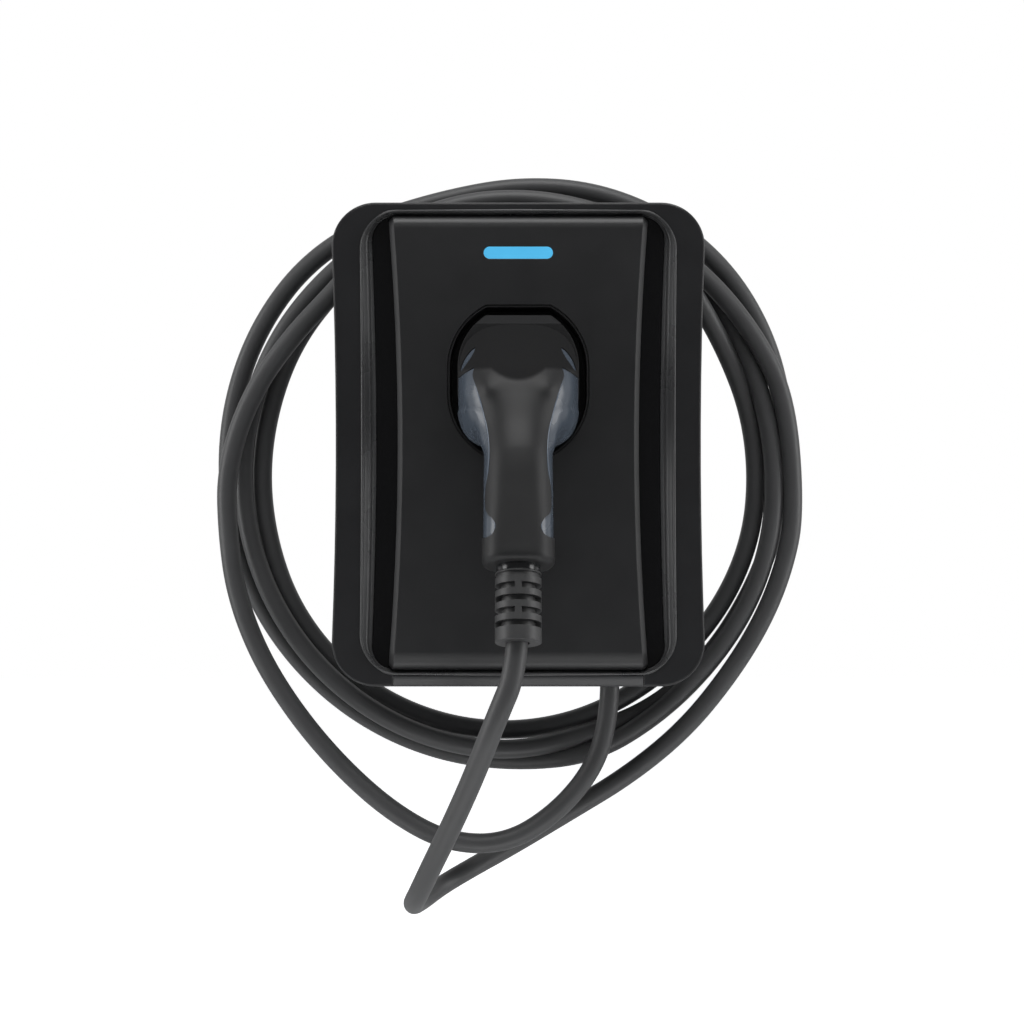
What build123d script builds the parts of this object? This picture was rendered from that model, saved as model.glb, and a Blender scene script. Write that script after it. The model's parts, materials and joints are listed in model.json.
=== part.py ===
from build123d import *
import os
from math import cos, sin, pi, radians, tan

# A wall-mounted charger for electric cars. The wall is the plane y = 0 and the front looks along -Y.
# A "depth" is a distance from the wall towards the viewer. All sizes are in millimetres.

# Enclosure outline
BOX_WIDTH = 249.4            # across the bezel where its sides would meet top and bottom
BOX_HEIGHT = 320.0
BOX_WAIST = 4.0              # how far each long side is drawn in at mid-height
CORNER_RADIUS = 29.0
BEZEL_DEPTH = 92.0           # wall to bezel face
SKIRT_LENGTH = 34.0          # from the bezel face back to the skirt's rear edge
FRAME_WALL = 3.0
RIM_FILLET = 1.3

# Well between bezel and panel
BEZEL_SIDE = 20.3            # width of the bezel's face at each side
BEZEL_TOP = 5.8
BEZEL_BOTTOM = 8.4
LIP_CORNER = 25.0
LIP_WAIST = 1.8
SLOPE_RUN = 6.2              # how far the well's sides slope in
SLOPE_RUN_END = 1.6          # how far they slope in at the top and bottom
WELL_CORNER = 16.0
WELL_DROP = 9.0              # bezel face to the floor of the well
FLOOR_THICKNESS = 3.0

# Centre panel
CHANNEL_WIDTH = 12.0         # foot of the slope to the panel
PANEL_GAP_TOP = 1.0
PANEL_GAP_BOTTOM = 0.4
PANEL_WAIST = 6.3
PANEL_STAND = 1.0            # how far the panel stands in front of the bezel
PANEL_WALL = 3.0
PANEL_EDGE = 1.5             # extra wall behind the chamfered sides
PANEL_SIDE_CHAMFER = 3.4
PANEL_ROLL = 5.5
POST_RADIUS = 3.0
POST_INSET_X = 21.2          # edge of the panel to its posts
POST_INSET_Z = 28.0          # top and bottom of the box to the posts

# Glossy strips beside the panel
INSERT_GAP = 0.5             # strip to panel and strip to slope
INSERT_THICKNESS = 1.6

# Strip let into the bottom edge
TRIM_WIDTH = 165.2
TRIM_HEIGHT = 7.4
TRIM_DEPTH = 8.0
TRIM_GAP = 0.3
TRIM_BACKING = 5.0

# Rear housing
NECK_INSET_SIDE = 31.7       # edge of the box to the neck
NECK_INSET_TOP = 21.5
NECK_INSET_BOTTOM = 38.0
NECK_CORNER = 10.0
HOUSING_WALL = 3.0
REAR_WALL = 3.5
FLANGE_THICKNESS = 5.0
FLANGE_GAP = 0.3             # flange edge to the inside of the skirt
WALL_HOLE_RADIUS = 3.25
WALL_HOLE_INSET_X = 18.0     # side of the neck to the wall screws
WALL_HOLE_INSET_Z = 25.25

# Seal and frame screws
GASKET_WIDTH = 4.0
GASKET_THICKNESS = 2.5
GASKET_INSET = 2.0           # flange opening to the gasket's inner edge
FRAME_SCREW_INSET_X = 15.7   # edge of the box to the corner screws
FRAME_SCREW_INSET_Z = 20.0
WAIST_SCREW_INSET = 12.7     # edge of the waist to the screws at mid-height
SCREW_RADIUS = 1.75
SCREW_HEAD_RADIUS = 3.5
SCREW_HEAD_HEIGHT = 2.4
SCREW_LENGTH = 14.0
SCREW_PLAY = 0.05
BOSS_RADIUS = 4.6
HEAD_PLAY = 0.25
PANEL_SCREW_HEAD_RADIUS = 3.8
PANEL_SCREW_HEAD_HEIGHT = 1.6
BLIND_END = 2.0              # material left beyond a blind screw hole
TIP_PLAY = 1.0               # screw tip to the end of its hole
CROSS_WIDTH = 0.8

# Light bar
LIGHT_LENGTH = 45.6
LIGHT_HEIGHT = 7.9
LIGHT_DROP = 25.1            # top of the panel to the middle of the light
LIGHT_FLANGE = 3.0
LIGHT_FLANGE_THICKNESS = 1.6
LIGHT_PLAY = 0.1
LED_COUNT = 5
LED_PITCH = 9.0
LED_SIZE = (5.0, 3.5, 1.4)
WIRE_HOLE_RADIUS = 3.0

# Holster pocket, an upright slot with a flat top
POCKET_RADIUS = 45.2
POCKET_BELOW_LIGHT = 35.9    # middle of the light to the pocket's flat top
POCKET_HEAD = 40.1           # flat top to the upper arc's centre
POCKET_STRAIGHT = 17.0       # upper arc's centre to the lower one's
POCKET_CORNER = 3.0
POCKET_DROP = 23.0           # panel face to the pocket's floor
CUP_WALL = 2.2
CUP_PLAY = 0.25
CUP_FLANGE = 8.0
CUP_FLANGE_THICKNESS = 2.0
NOSE_PLAY = 0.3
NOSE_END_GAP = 3.0           # tip of the nose to the floor of its socket
DRAIN_RADIUS = 2.5

# Connector
COLLAR_GAP = 5.5             # pocket wall to the connector's front collar
COLLAR_SEAT_GAP = 10.0       # pocket floor to the back of the collar
COLLAR_STAND = 17.0          # how far the collar stands in front of the panel
COLLAR_TAPER = 9.0           # length of the collar's sloping front
HEAD_DROP = 1.0              # step from collar to head
HEAD_TOP_DROP = 14.1         # top of the pocket to the top of the head
NOSE_RADIUS = 30.5
NOSE_FLAT = 21.0             # nose centre to its flat top
NOSE_LENGTH = 39.0
SHROUD_WALL = 2.5
SHROUD_GAP = 2.2
SHROUD_GAP_LENGTH = 26.0
POWER_PIN_RADIUS = 3.0
SIGNAL_PIN_RADIUS = 1.5
PIN_WALL = 1.1
PIN_LENGTH = 24.0
PIN_INSET = 2.0              # tip of the shroud to the contacts
OVERMOULD = 0.7              # how far the rubber stands proud of the shell
GRIP_TILT = 17.0             # degrees that the handle leans towards the viewer
GRIP_REACH = 63.0            # front of the collar to the handle's end, away from the wall
GRIP_FALL = 119.7            # middle of the pocket down to the handle's end
GRIP_HALF_WIDTH = 21.0
GRIP_HALF_THICKNESS = 19.0
GRIP_END_ROUND = 3.5
NECK_RING_RADIUS = 13.4
NECK_RING_LENGTH = 4.0
BOOT_RADIUS = 14.0
BOOT_LENGTH = 43.0
BOOT_CORE_RADIUS = 10.2
BOOT_RIB_PITCH = 7.6
BOOT_SLOT = 3.6
BOOT_FIRST_SLOT = 8.2
BOOT_SLOTS = 4
BOOT_WEB = 4.0
BOOT_EDGE = 0.8
BOOT_GROOVE = 1.3            # depth of the groove next to the ring
BOOT_SOCKET = 12.0           # how deep the cable sits in the boot

# Sections across the connector's head, back to front: the inner and the outer edge, each as its depth from
# the collar's front and its drop (the inner from the collar's foot, the outer from the head's top), and how
# much narrower it is on each side than the collar
HEAD_SECTIONS = [((0, 0), (0, 0), 0), ((5.5, 0.2), (9, 4), 0.1), ((11, 1), (24, 16), 2.2),
                 ((16, 2.8), (38, 34), 7.7), ((20, 6.3), (48, 54.5), 14.2)]
# Sections across the handle: distance from its end, how much slimmer than the handle's size
GRIP_SECTIONS = [(-69, -0.3), (-45, -0.3), (-20, -0.3), (-GRIP_END_ROUND, -0.3), (0, GRIP_END_ROUND)]

# Edge of the rubber over-mould seen from the front: x, and height from the pocket's middle
RUBBER_FRONT = [(0, 58), (26, 58), (27.5, 19.5), (44, 3), (44, -4), (33, 1), (27.1, 5), (30.5, -1), (25, -14),
                (21.3, -26.5), (18.1, -40), (17.6, -52), (18.5, -64), (22.6, -78), (30, -82), (30, -88),
                (22.6, -88), (13.5, -95), (22.6, -102.5), (44, -104), (44, -152), (0, -152)]
# The same edge seen from the side: depth from the collar's front, and height
RUBBER_SIDE = [(-1, 58), (-1, 16), (17, -10), (31, -36), (42, -62), (53, -100), (10, -106), (10, -152),
               (120, -152), (120, 58)]
RUBBER_REACH = 120.0

# Cable
CABLE_RADIUS = 6.75
CABLE_PLAY = 0.15
COIL_BACK = 9.0
COIL_FRONT = 36.0
COIL_SEAT_GAP = 0.3
COIL_ROUND = 6.0

# Glands
GLAND_SETBACK = 15.0         # skirt's rear edge to the gland's axis
OUTLET_INSET = 29.0          # side of the neck to the outlet gland's axis
SUPPLY_INSET = 25.0
THREAD_RADIUS = 10.0
THREAD_PLAY = 0.2
GLAND_BORE = 8.0
HEX_FLATS = 25.0
GLAND_SHOULDER = 5.0
GLAND_NECK = 14.0            # length of the gland's neck below the shoulder
GLAND_NECK_RADIUS = 9.2
THREAD_RUN_OUT = 1.0
GLAND_CAP_GAP = 1.5
GLAND_CAP = 19.0
CAP_DOME = 5.0
CAP_LIP = 2.2
SUPPLY_BORE = 6.5
NUT_THICKNESS = 5.0
NUT_PLAY = 0.05
SEAL_INSET = 2.0

# Circuit board and what stands on it
BOARD_WIDTH = 124.0
BOARD_HEIGHT = 190.0
BOARD_THICKNESS = 1.6
BOARD_LIFT = 10.0
BOARD_HOLE_INSET = 5.0
BOARD_BOSS_RADIUS = 4.0
BOARD_SCREW_RADIUS = 1.25
BOARD_SCREW_HEAD_RADIUS = 2.8
BOARD_SCREW_HEAD_HEIGHT = 1.8
TERMINAL_WIDTH = 36.0
TERMINAL_HEIGHT = 18.0
TERMINAL_DEPTH = 18.0
TERMINAL_POLES = 3
TERMINAL_FOOT = 1.0          # lower edge of the board to the terminals
TERMINAL_X = BOARD_WIDTH / 2 - TERMINAL_WIDTH / 2 - 2 * BOARD_HOLE_INSET
TERMINAL_SCREW_RADIUS = 3.0
TERMINAL_SCREW_WELL = 4.0
CORE_RADIUS = 1.9
CORE_PITCH = 4.1
CORE_RISE = 14.0             # first core's rise before it turns to its terminal
CORE_STEP = 5.0              # how much higher each next core turns
CORE_DROP = 8.0              # where the cores straighten up below the terminals

# Components, each by its width, height and thickness, and its place from the board's middle: x, z
RELAY_SIZE = (28.0, 26.0, 22.0)
RELAY_PLACE = (16.0, -50.0)
RELAY_LID_STEP = 1.5
RELAY_LID = 1.0
SENSOR_SIZE = (26.0, 14.0, 26.0)
SENSOR_PLACE = (46.0, -52.0)
SENSOR_WINDOW = 7.5
FUSE_SIZE = (28.0, 10.0, 3.0)
FUSE_PLACE = (-46.0, -52.0)
FUSE_RADIUS = 3.2
FUSE_LENGTH = 22.0
FUSE_GAP = 0.3               # holder to fuse, which its clips carry
CLIP_SIZE = (5.0, 9.0, 9.0)
POWER_SUPPLY_SIZE = (36.0, 34.0, 20.0)
POWER_SUPPLY_PLACE = (-34.0, 77.0)
COMMS_SIZE = (30.0, 24.0, 4.0)
COMMS_PLACE = (40.0, 74.0)
CHIP_SIZE = (20.0, 20.0, 2.0)
CHIP_PLACE = (-38.0, 30.0)
CAPACITOR_RADIUS = 5.0
CAPACITOR_HEIGHT = 16.0
CAPACITOR_PITCH = 13.0
CAPACITOR_COUNT = 3
CAPACITOR_PLACE = (5.0, 84.0)

# Route of the cable from the gland to the coil: x, depth, height
LEAD_IN = [(64, 43, -122), (64, 43, -155), (62.5, 44, -188), (53, 47, -222), (28, 51, -254),
           (-8, 55, -273), (-48, 58, -271.5), (-85.5, 58, -252.5), (-121, 56, -221.5), (-151, 53.5, -184),
           (-176, 51, -143), (-192, 49, -100), (-198.5, 47, -57), (-199, 45.4, -15)]
LEAD_IN_RUN_ON = 37.0        # how far it runs on straight before it sinks into the turns
LEAD_IN_SUNK = (-190, 25, 52)

# Route from the coil round the low loop and up into the connector
LEAD_OUT = [(190.5, 29, -45), (187, 30, -84), (172, 31, -122), (145.5, 32, -158), (113, 33, -193.5),
            (75.5, 34, -226), (35, 34.5, -252.5), (-4, 34, -276), (-34, 34.5, -293), (-54, 47, -304),
            (-66, 70, -309.5), (-69, 100, -303.5), (-64, 126, -289), (-54, 146, -265), (-41, 161, -237),
            (-25, 176, -203), (-10, 190.5, -168)]
LEAD_OUT_RUN_ON = 35.0
LEAD_OUT_SUNK = (189, 25, 22)

# Outlines of the wound turns, as points x, z that a smooth closed curve passes through
COIL_OUTSIDE = [(15, 189), (75, 180), (131, 142.5), (177, 82), (196, 24), (184, -28), (176, -80), (160, -117),
                (134, -148), (94, -183), (-4, -222), (-92, -201), (-158, -150), (-197, -78), (-208.5, -10),
                (-191, 75), (-130, 151), (-62, 181)]
COIL_INSIDE = [(0, 134), (93, 126), (128, 82), (153, 30), (159, -24), (146, -92), (105, -148), (52, -180),
               (-4, -189), (-66, -177), (-130, -137), (-165, -72), (-172, -14), (-158, 46), (-128, 96), (-93, 126)]

# Heights and widths worked out from the sizes above
HALF_HEIGHT = BOX_HEIGHT / 2
LIP_TOP = HALF_HEIGHT - BEZEL_TOP
LIP_BOTTOM = -HALF_HEIGHT + BEZEL_BOTTOM
LIP_WIDTH = BOX_WIDTH - 2 * BEZEL_SIDE
WELL_TOP = LIP_TOP - SLOPE_RUN_END
WELL_BOTTOM = LIP_BOTTOM + SLOPE_RUN_END
WELL_WIDTH = LIP_WIDTH - 2 * SLOPE_RUN
PANEL_TOP = WELL_TOP - PANEL_GAP_TOP
PANEL_BOTTOM = WELL_BOTTOM + PANEL_GAP_BOTTOM
PANEL_WIDTH = WELL_WIDTH - 2 * CHANNEL_WIDTH
LIGHT_Z = PANEL_TOP - LIGHT_DROP
POCKET_TOP = LIGHT_Z - POCKET_BELOW_LIGHT
POCKET_HIGH = POCKET_TOP - POCKET_HEAD
POCKET_LOW = POCKET_HIGH - POCKET_STRAIGHT
POCKET_MIDDLE = (POCKET_LOW + POCKET_HIGH) / 2
NECK_TOP = HALF_HEIGHT - NECK_INSET_TOP
NECK_BOTTOM = -HALF_HEIGHT + NECK_INSET_BOTTOM
NECK_WIDTH = BOX_WIDTH - 2 * NECK_INSET_SIDE
NECK_MIDDLE = (NECK_TOP + NECK_BOTTOM) / 2
NECK_HEIGHT = NECK_TOP - NECK_BOTTOM
OUTLET_X = NECK_WIDTH / 2 - OUTLET_INSET
SUPPLY_X = SUPPLY_INSET - NECK_WIDTH / 2

# Depths worked out from the sizes above
SKIRT_BACK = BEZEL_DEPTH - SKIRT_LENGTH
FLANGE_FRONT = SKIRT_BACK + FLANGE_THICKNESS
GASKET_FRONT = FLANGE_FRONT + GASKET_THICKNESS
FLOOR_DEPTH = BEZEL_DEPTH - WELL_DROP
FLOOR_BACK = FLOOR_DEPTH - FLOOR_THICKNESS
PANEL_DEPTH = BEZEL_DEPTH + PANEL_STAND
PANEL_BACK = PANEL_DEPTH - PANEL_WALL
POCKET_FLOOR_DEPTH = PANEL_DEPTH - POCKET_DROP
COLLAR_BACK = POCKET_FLOOR_DEPTH + COLLAR_SEAT_GAP
COLLAR_FRONT = PANEL_DEPTH + COLLAR_STAND
NOSE_TIP = COLLAR_BACK - NOSE_LENGTH
NOSE_POCKET_DEPTH = NOSE_TIP - NOSE_END_GAP
GLAND_DEPTH = SKIRT_BACK - GLAND_SETBACK
BOARD_BACK = REAR_WALL + BOARD_LIFT
BOARD_FRONT = BOARD_BACK + BOARD_THICKNESS


# Helpers

def prism(face, near, far):
    """A solid with the given upright outline, from one depth to another."""
    return extrude(Plane.XZ.offset(near) * face, amount=far - near)


def block(x0, x1, near, far, z0, z1):
    """A plain block between two x, two depths and two heights."""
    return Pos((x0 + x1) / 2, -(near + far) / 2, (z0 + z1) / 2) * Box(abs(x1 - x0), abs(far - near), abs(z1 - z0))


def peg(x, z, radius, near, far):
    """A round pin that stands out from the wall."""
    return prism(Pos(x, z) * Circle(radius), near, far)


def upright(x, depth, radius, low, high):
    """A round pin along the height."""
    return Pos(x, -depth, (low + high) / 2) * Cylinder(radius, abs(high - low))


def waisted(width, low, high, waist, corner):
    """An upright outline whose two long sides are drawn in at the middle."""
    w = width / 2
    middle = (low + high) / 2
    sides = [
        ThreePointArc((w, low), (w - waist, middle), (w, high)),
        Line((w, high), (-w, high)),
        ThreePointArc((-w, high), (-w + waist, middle), (-w, low)),
        Line((-w, low), (w, low)),
    ]
    face = make_face(sides)
    if corner > 0:
        face = fillet(face.vertices(), corner)
    return face


def slot_outline(radius, top, corner):
    """The upright slot of the holster, cut off flat at its top."""
    face = Pos(0, POCKET_MIDDLE) * Rot(0, 0, 90) * SlotCenterToCenter(POCKET_STRAIGHT, 2 * radius)
    above = Pos(0, top + radius) * Rectangle(4 * radius, 2 * radius)
    face = face - above
    ends = face.vertices().group_by(Axis.Y)[-1]
    return fillet(ends, corner)


def nose_outline(grow):
    """Round outline with a flat top, as on the nose of the connector."""
    radius = NOSE_RADIUS + grow
    flat = NOSE_FLAT + grow
    face = Circle(radius) - Pos(0, flat + radius) * Rectangle(4 * radius, 2 * radius)
    return Pos(0, POCKET_MIDDLE) * face


def neck_outline(grow):
    """Outline of the rear housing's neck."""
    outline = RectangleRounded(NECK_WIDTH + 2 * grow, NECK_HEIGHT + 2 * grow, NECK_CORNER + grow)
    return Pos(0, NECK_MIDDLE) * outline


def corner_radius(a, b, c):
    """Radius of a cord's arc at b: as large as its two runs allow."""
    before = Vector(*b) - Vector(*a)
    after = Vector(*c) - Vector(*b)
    half_turn = radians(before.get_angle(after)) / 2
    return 0.45 * min(before.length, after.length) / tan(half_turn)


def onward(points, length):
    """The point that lies a length beyond the last one, in line with the last run."""
    last = Vector(*points[-1])
    step = (last - Vector(*points[-2])).normalized() * length
    return tuple(last + step)


def route_tube(points, radius, name=None):
    """A round tube along straight runs joined by tangent arcs; points are x, depth, height."""
    places = [(x, -depth, z) for x, depth, z in points]
    radii = [corner_radius(*places[i:i + 3]) for i in range(len(places) - 2)]
    path = FilletPolyline(*places, radius=radii)
    start = Plane(origin=path @ 0, z_dir=path % 0)
    tube = sweep(start * Circle(radius), path=path)
    if name:
        print(name, "length", round(path.length, 1), "mm, smallest radii",
              [round(r, 1) for r in sorted(radii)[:4]])
        print(name, "volume ratio", round(tube.volume / (pi * radius ** 2 * path.length), 4))
    return tube


def frame_screw_places():
    """Where the six frame screws stand."""
    x = BOX_WIDTH / 2 - FRAME_SCREW_INSET_X
    z = HALF_HEIGHT - FRAME_SCREW_INSET_Z
    corners = [(sx * x, sz * z) for sx in (-1, 1) for sz in (-1, 1)]
    waist_x = BOX_WIDTH / 2 - BOX_WAIST - WAIST_SCREW_INSET
    return corners + [(-waist_x, 0), (waist_x, 0)]


def post_places():
    """Where the centre panel's four posts stand."""
    x = PANEL_WIDTH / 2 - POST_INSET_X
    z = HALF_HEIGHT - POST_INSET_Z
    return [(sx * x, sz * z) for sx in (-1, 1) for sz in (-1, 1)]


def wall_hole_places():
    """Where the four wall screws pass through the rear wall."""
    x = NECK_WIDTH / 2 - WALL_HOLE_INSET_X
    z = NECK_HEIGHT / 2 - WALL_HOLE_INSET_Z
    return [(sx * x, NECK_MIDDLE + sz * z) for sx in (-1, 1) for sz in (-1, 1)]


def board_hole_places():
    """Where the four board screws stand."""
    x = BOARD_WIDTH / 2 - BOARD_HOLE_INSET
    z = BOARD_HEIGHT / 2 - BOARD_HOLE_INSET
    return [(sx * x, NECK_MIDDLE + sz * z) for sx in (-1, 1) for sz in (-1, 1)]


# Enclosure

def make_rear_housing():
    """Back box: neck, flange that keeps the cable in place, bosses and entries."""
    body = prism(neck_outline(0), 0, FLANGE_FRONT)
    inset = FRAME_WALL + FLANGE_GAP
    half = HALF_HEIGHT - inset
    flange = waisted(BOX_WIDTH - 2 * inset, -half, half, BOX_WAIST, CORNER_RADIUS - inset)
    body += prism(flange, SKIRT_BACK, FLANGE_FRONT)
    body -= prism(neck_outline(-HOUSING_WALL), REAR_WALL, FLANGE_FRONT)
    for x, z in board_hole_places():
        body += peg(x, z, BOARD_BOSS_RADIUS, REAR_WALL, BOARD_BACK)
        body -= peg(x, z, BOARD_SCREW_RADIUS + SCREW_PLAY, REAR_WALL + BLIND_END, BOARD_BACK)
    for x, z in wall_hole_places():
        body -= peg(x, z, WALL_HOLE_RADIUS, 0, REAR_WALL)
    for x in (OUTLET_X, SUPPLY_X):
        body -= upright(x, GLAND_DEPTH, THREAD_RADIUS + THREAD_PLAY, NECK_BOTTOM, NECK_BOTTOM + HOUSING_WALL)
    for x, z in frame_screw_places():
        body -= peg(x, z, SCREW_RADIUS + HEAD_PLAY, SKIRT_BACK, FLANGE_FRONT)
        body -= peg(x, z, SCREW_HEAD_RADIUS + HEAD_PLAY, SKIRT_BACK, SKIRT_BACK + SCREW_HEAD_HEIGHT + HEAD_PLAY)
    return body


def make_gasket():
    """Rubber ring between the flange and the frame's sealing wall."""
    inner = GASKET_INSET - HOUSING_WALL
    ring = neck_outline(inner + GASKET_WIDTH) - neck_outline(inner)
    return prism(ring, FLANGE_FRONT, GASKET_FRONT)


def well_cutter():
    """The sloping well between the bezel's lip and the panel."""
    foot = waisted(WELL_WIDTH, WELL_BOTTOM, WELL_TOP, 2 * LIP_WAIST, WELL_CORNER)
    lip = waisted(LIP_WIDTH, LIP_BOTTOM, LIP_TOP, LIP_WAIST, LIP_CORNER)
    return loft([Plane.XZ.offset(FLOOR_DEPTH) * foot, Plane.XZ.offset(BEZEL_DEPTH) * lip], ruled=True)


def make_front_frame():
    """Bezel, skirt and well in one moulding."""
    half = HALF_HEIGHT
    body = prism(waisted(BOX_WIDTH, -half, half, BOX_WAIST, CORNER_RADIUS), SKIRT_BACK, BEZEL_DEPTH)
    rim = body.faces().sort_by(Axis.Y)[0].outer_wire().edges()
    body = fillet(rim, RIM_FILLET)
    inside = waisted(BOX_WIDTH - 2 * FRAME_WALL, -half + FRAME_WALL, half - FRAME_WALL, BOX_WAIST,
                     CORNER_RADIUS - FRAME_WALL)
    body -= prism(inside, SKIRT_BACK, FLOOR_BACK)
    well_half = LIP_WIDTH / 2 + FRAME_WALL
    pocket = prism(inside, FLOOR_BACK, BEZEL_DEPTH - FRAME_WALL)
    pocket -= block(-well_half, well_half, FLOOR_BACK, BEZEL_DEPTH, -half, half)
    body -= pocket
    body -= well_cutter()
    # the wall that presses on the gasket
    inner = GASKET_INSET - HOUSING_WALL
    wall = neck_outline(inner + GASKET_WIDTH) - neck_outline(inner)
    body += prism(wall, GASKET_FRONT, FLOOR_BACK)
    # screw bosses
    for x, z in frame_screw_places():
        body += peg(x, z, BOSS_RADIUS, FLANGE_FRONT, FLOOR_DEPTH)
        depth = SKIRT_BACK + SCREW_HEAD_HEIGHT + SCREW_LENGTH + TIP_PLAY
        body -= peg(x, z, SCREW_RADIUS + SCREW_PLAY, FLANGE_FRONT, depth)
    # bottom strip's recess with its backing
    trim_top = -half + TRIM_HEIGHT
    side = TRIM_WIDTH / 2 + TRIM_GAP
    body += block(-side - FRAME_WALL, side + FRAME_WALL, BEZEL_DEPTH - TRIM_DEPTH - TRIM_BACKING,
                  BEZEL_DEPTH - TRIM_DEPTH, -half + FRAME_WALL / 2, LIP_BOTTOM)
    body -= block(-side, side, BEZEL_DEPTH - TRIM_DEPTH, BEZEL_DEPTH + 1, -half - 1, trim_top + TRIM_GAP)
    # openings in the floor
    body -= prism(slot_outline(POCKET_RADIUS + CUP_WALL + CUP_PLAY, POCKET_TOP + CUP_WALL + CUP_PLAY, POCKET_CORNER),
                  FLOOR_BACK, FLOOR_DEPTH)
    for x, z in post_places():
        body -= peg(x, z, POST_RADIUS + SCREW_PLAY, FLOOR_BACK, FLOOR_DEPTH)
    return body - peg(LIGHT_LENGTH / 2, LIGHT_Z + LIGHT_HEIGHT, WIRE_HOLE_RADIUS, FLOOR_BACK, FLOOR_DEPTH)


def make_bottom_trim():
    """Strip that closes the recess in the bottom edge."""
    low = -HALF_HEIGHT
    strip = block(-TRIM_WIDTH / 2, TRIM_WIDTH / 2, BEZEL_DEPTH - TRIM_DEPTH, BEZEL_DEPTH, low, low + TRIM_HEIGHT)
    edge = strip.edges().filter_by(Axis.X).group_by(Axis.Y)[0].sort_by(Axis.Z)[0]
    return fillet(edge, RIM_FILLET)


def make_centre_panel():
    """Waisted shell with chamfered sides and rolled ends."""
    outline = waisted(PANEL_WIDTH, PANEL_BOTTOM, PANEL_TOP, PANEL_WAIST, 0)
    body = prism(outline, FLOOR_DEPTH, PANEL_DEPTH)
    front = body.faces().sort_by(Axis.Y)[0]
    ends = [e for e in front.edges() if e.bounding_box().size.Z < 1]
    body = fillet(ends, PANEL_ROLL)
    front = body.faces().sort_by(Axis.Y)[0]
    sides = [e for e in front.edges() if e.bounding_box().size.Z > HALF_HEIGHT]
    body = chamfer(sides, PANEL_SIDE_CHAMFER)
    edge = PANEL_WALL + PANEL_EDGE
    inner = waisted(PANEL_WIDTH - 2 * edge, PANEL_BOTTOM + PANEL_ROLL, PANEL_TOP - PANEL_ROLL, PANEL_WAIST,
                    PANEL_WALL)
    body -= prism(inner, FLOOR_DEPTH, PANEL_BACK)
    body -= prism(slot_outline(POCKET_RADIUS + CUP_PLAY + RIM_FILLET, POCKET_TOP + CUP_PLAY + RIM_FILLET,
                               POCKET_CORNER), FLOOR_DEPTH, PANEL_DEPTH)
    light = SlotOverall(LIGHT_LENGTH + 2 * LIGHT_PLAY, LIGHT_HEIGHT + 2 * LIGHT_PLAY)
    body -= prism(Pos(0, LIGHT_Z) * light, FLOOR_DEPTH, PANEL_DEPTH)
    for x, z in post_places():
        body += peg(x, z, POST_RADIUS, FLOOR_BACK, PANEL_BACK)
        body -= peg(x, z, BOARD_SCREW_RADIUS + SCREW_PLAY, FLOOR_BACK, PANEL_BACK - BLIND_END)
    return body


def make_side_insert(side):
    """Glossy strip that follows the waist of the panel on one side."""
    front = FLOOR_DEPTH + INSERT_THICKNESS
    outer = waisted(WELL_WIDTH - 2 * INSERT_GAP, WELL_BOTTOM + INSERT_GAP, WELL_TOP - INSERT_GAP, 2 * LIP_WAIST,
                    WELL_CORNER - INSERT_GAP)
    inner = waisted(PANEL_WIDTH + 2 * INSERT_GAP, PANEL_BOTTOM, PANEL_TOP, PANEL_WAIST, 0)
    strip = prism(outer - inner, FLOOR_DEPTH, front)
    low = PANEL_BOTTOM + INSERT_GAP
    high = PANEL_TOP - INSERT_GAP
    return (strip & block(0, side * WELL_WIDTH, FLOOR_DEPTH, front, low, high)).solid()


def make_screws(places, radius, head_radius, head_height, head_at, tip_at):
    """Pan-head screws, one solid each; head_at is the depth of the head's bearing face."""
    towards = 1 if tip_at > head_at else -1
    group = []
    for x, z in places:
        shank = peg(x, z, radius, min(head_at, tip_at), max(head_at, tip_at))
        head_end = head_at - towards * head_height
        head = peg(x, z, head_radius, min(head_at, head_end), max(head_at, head_end))
        reach = head_radius * 0.6
        cross = block(x - reach, x + reach, head_end, head_end + towards * CROSS_WIDTH,
                      z - CROSS_WIDTH / 2, z + CROSS_WIDTH / 2)
        group.append((shank + head - cross).solid())
    return Compound(children=group)


# Light and holster

def make_light_bar():
    """Blue light guide with a flange behind the panel."""
    bar = prism(Pos(0, LIGHT_Z) * SlotOverall(LIGHT_LENGTH, LIGHT_HEIGHT), PANEL_BACK, PANEL_DEPTH)
    flange = SlotOverall(LIGHT_LENGTH + 2 * LIGHT_FLANGE, LIGHT_HEIGHT + 2 * LIGHT_FLANGE)
    return bar + prism(Pos(0, LIGHT_Z) * flange, PANEL_BACK - LIGHT_FLANGE_THICKNESS, PANEL_BACK)


def make_led_board():
    """Small board that stands on the frame's floor behind the light bar."""
    board = RectangleRounded(LIGHT_LENGTH + 2 * LIGHT_FLANGE, LIGHT_HEIGHT + LIGHT_FLANGE, 1.5)
    return prism(Pos(0, LIGHT_Z) * board, FLOOR_DEPTH, FLOOR_DEPTH + BOARD_THICKNESS)


def make_led_chips():
    """Row of light-emitting chips."""
    chips = []
    width, height, thickness = LED_SIZE
    back = FLOOR_DEPTH + BOARD_THICKNESS
    for i in range(LED_COUNT):
        x = (i - (LED_COUNT - 1) / 2) * LED_PITCH
        chip = block(x - width / 2, x + width / 2, back, back + thickness, LIGHT_Z - height / 2, LIGHT_Z + height / 2)
        chips.append(chip)
    return Compound(children=chips)


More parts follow.
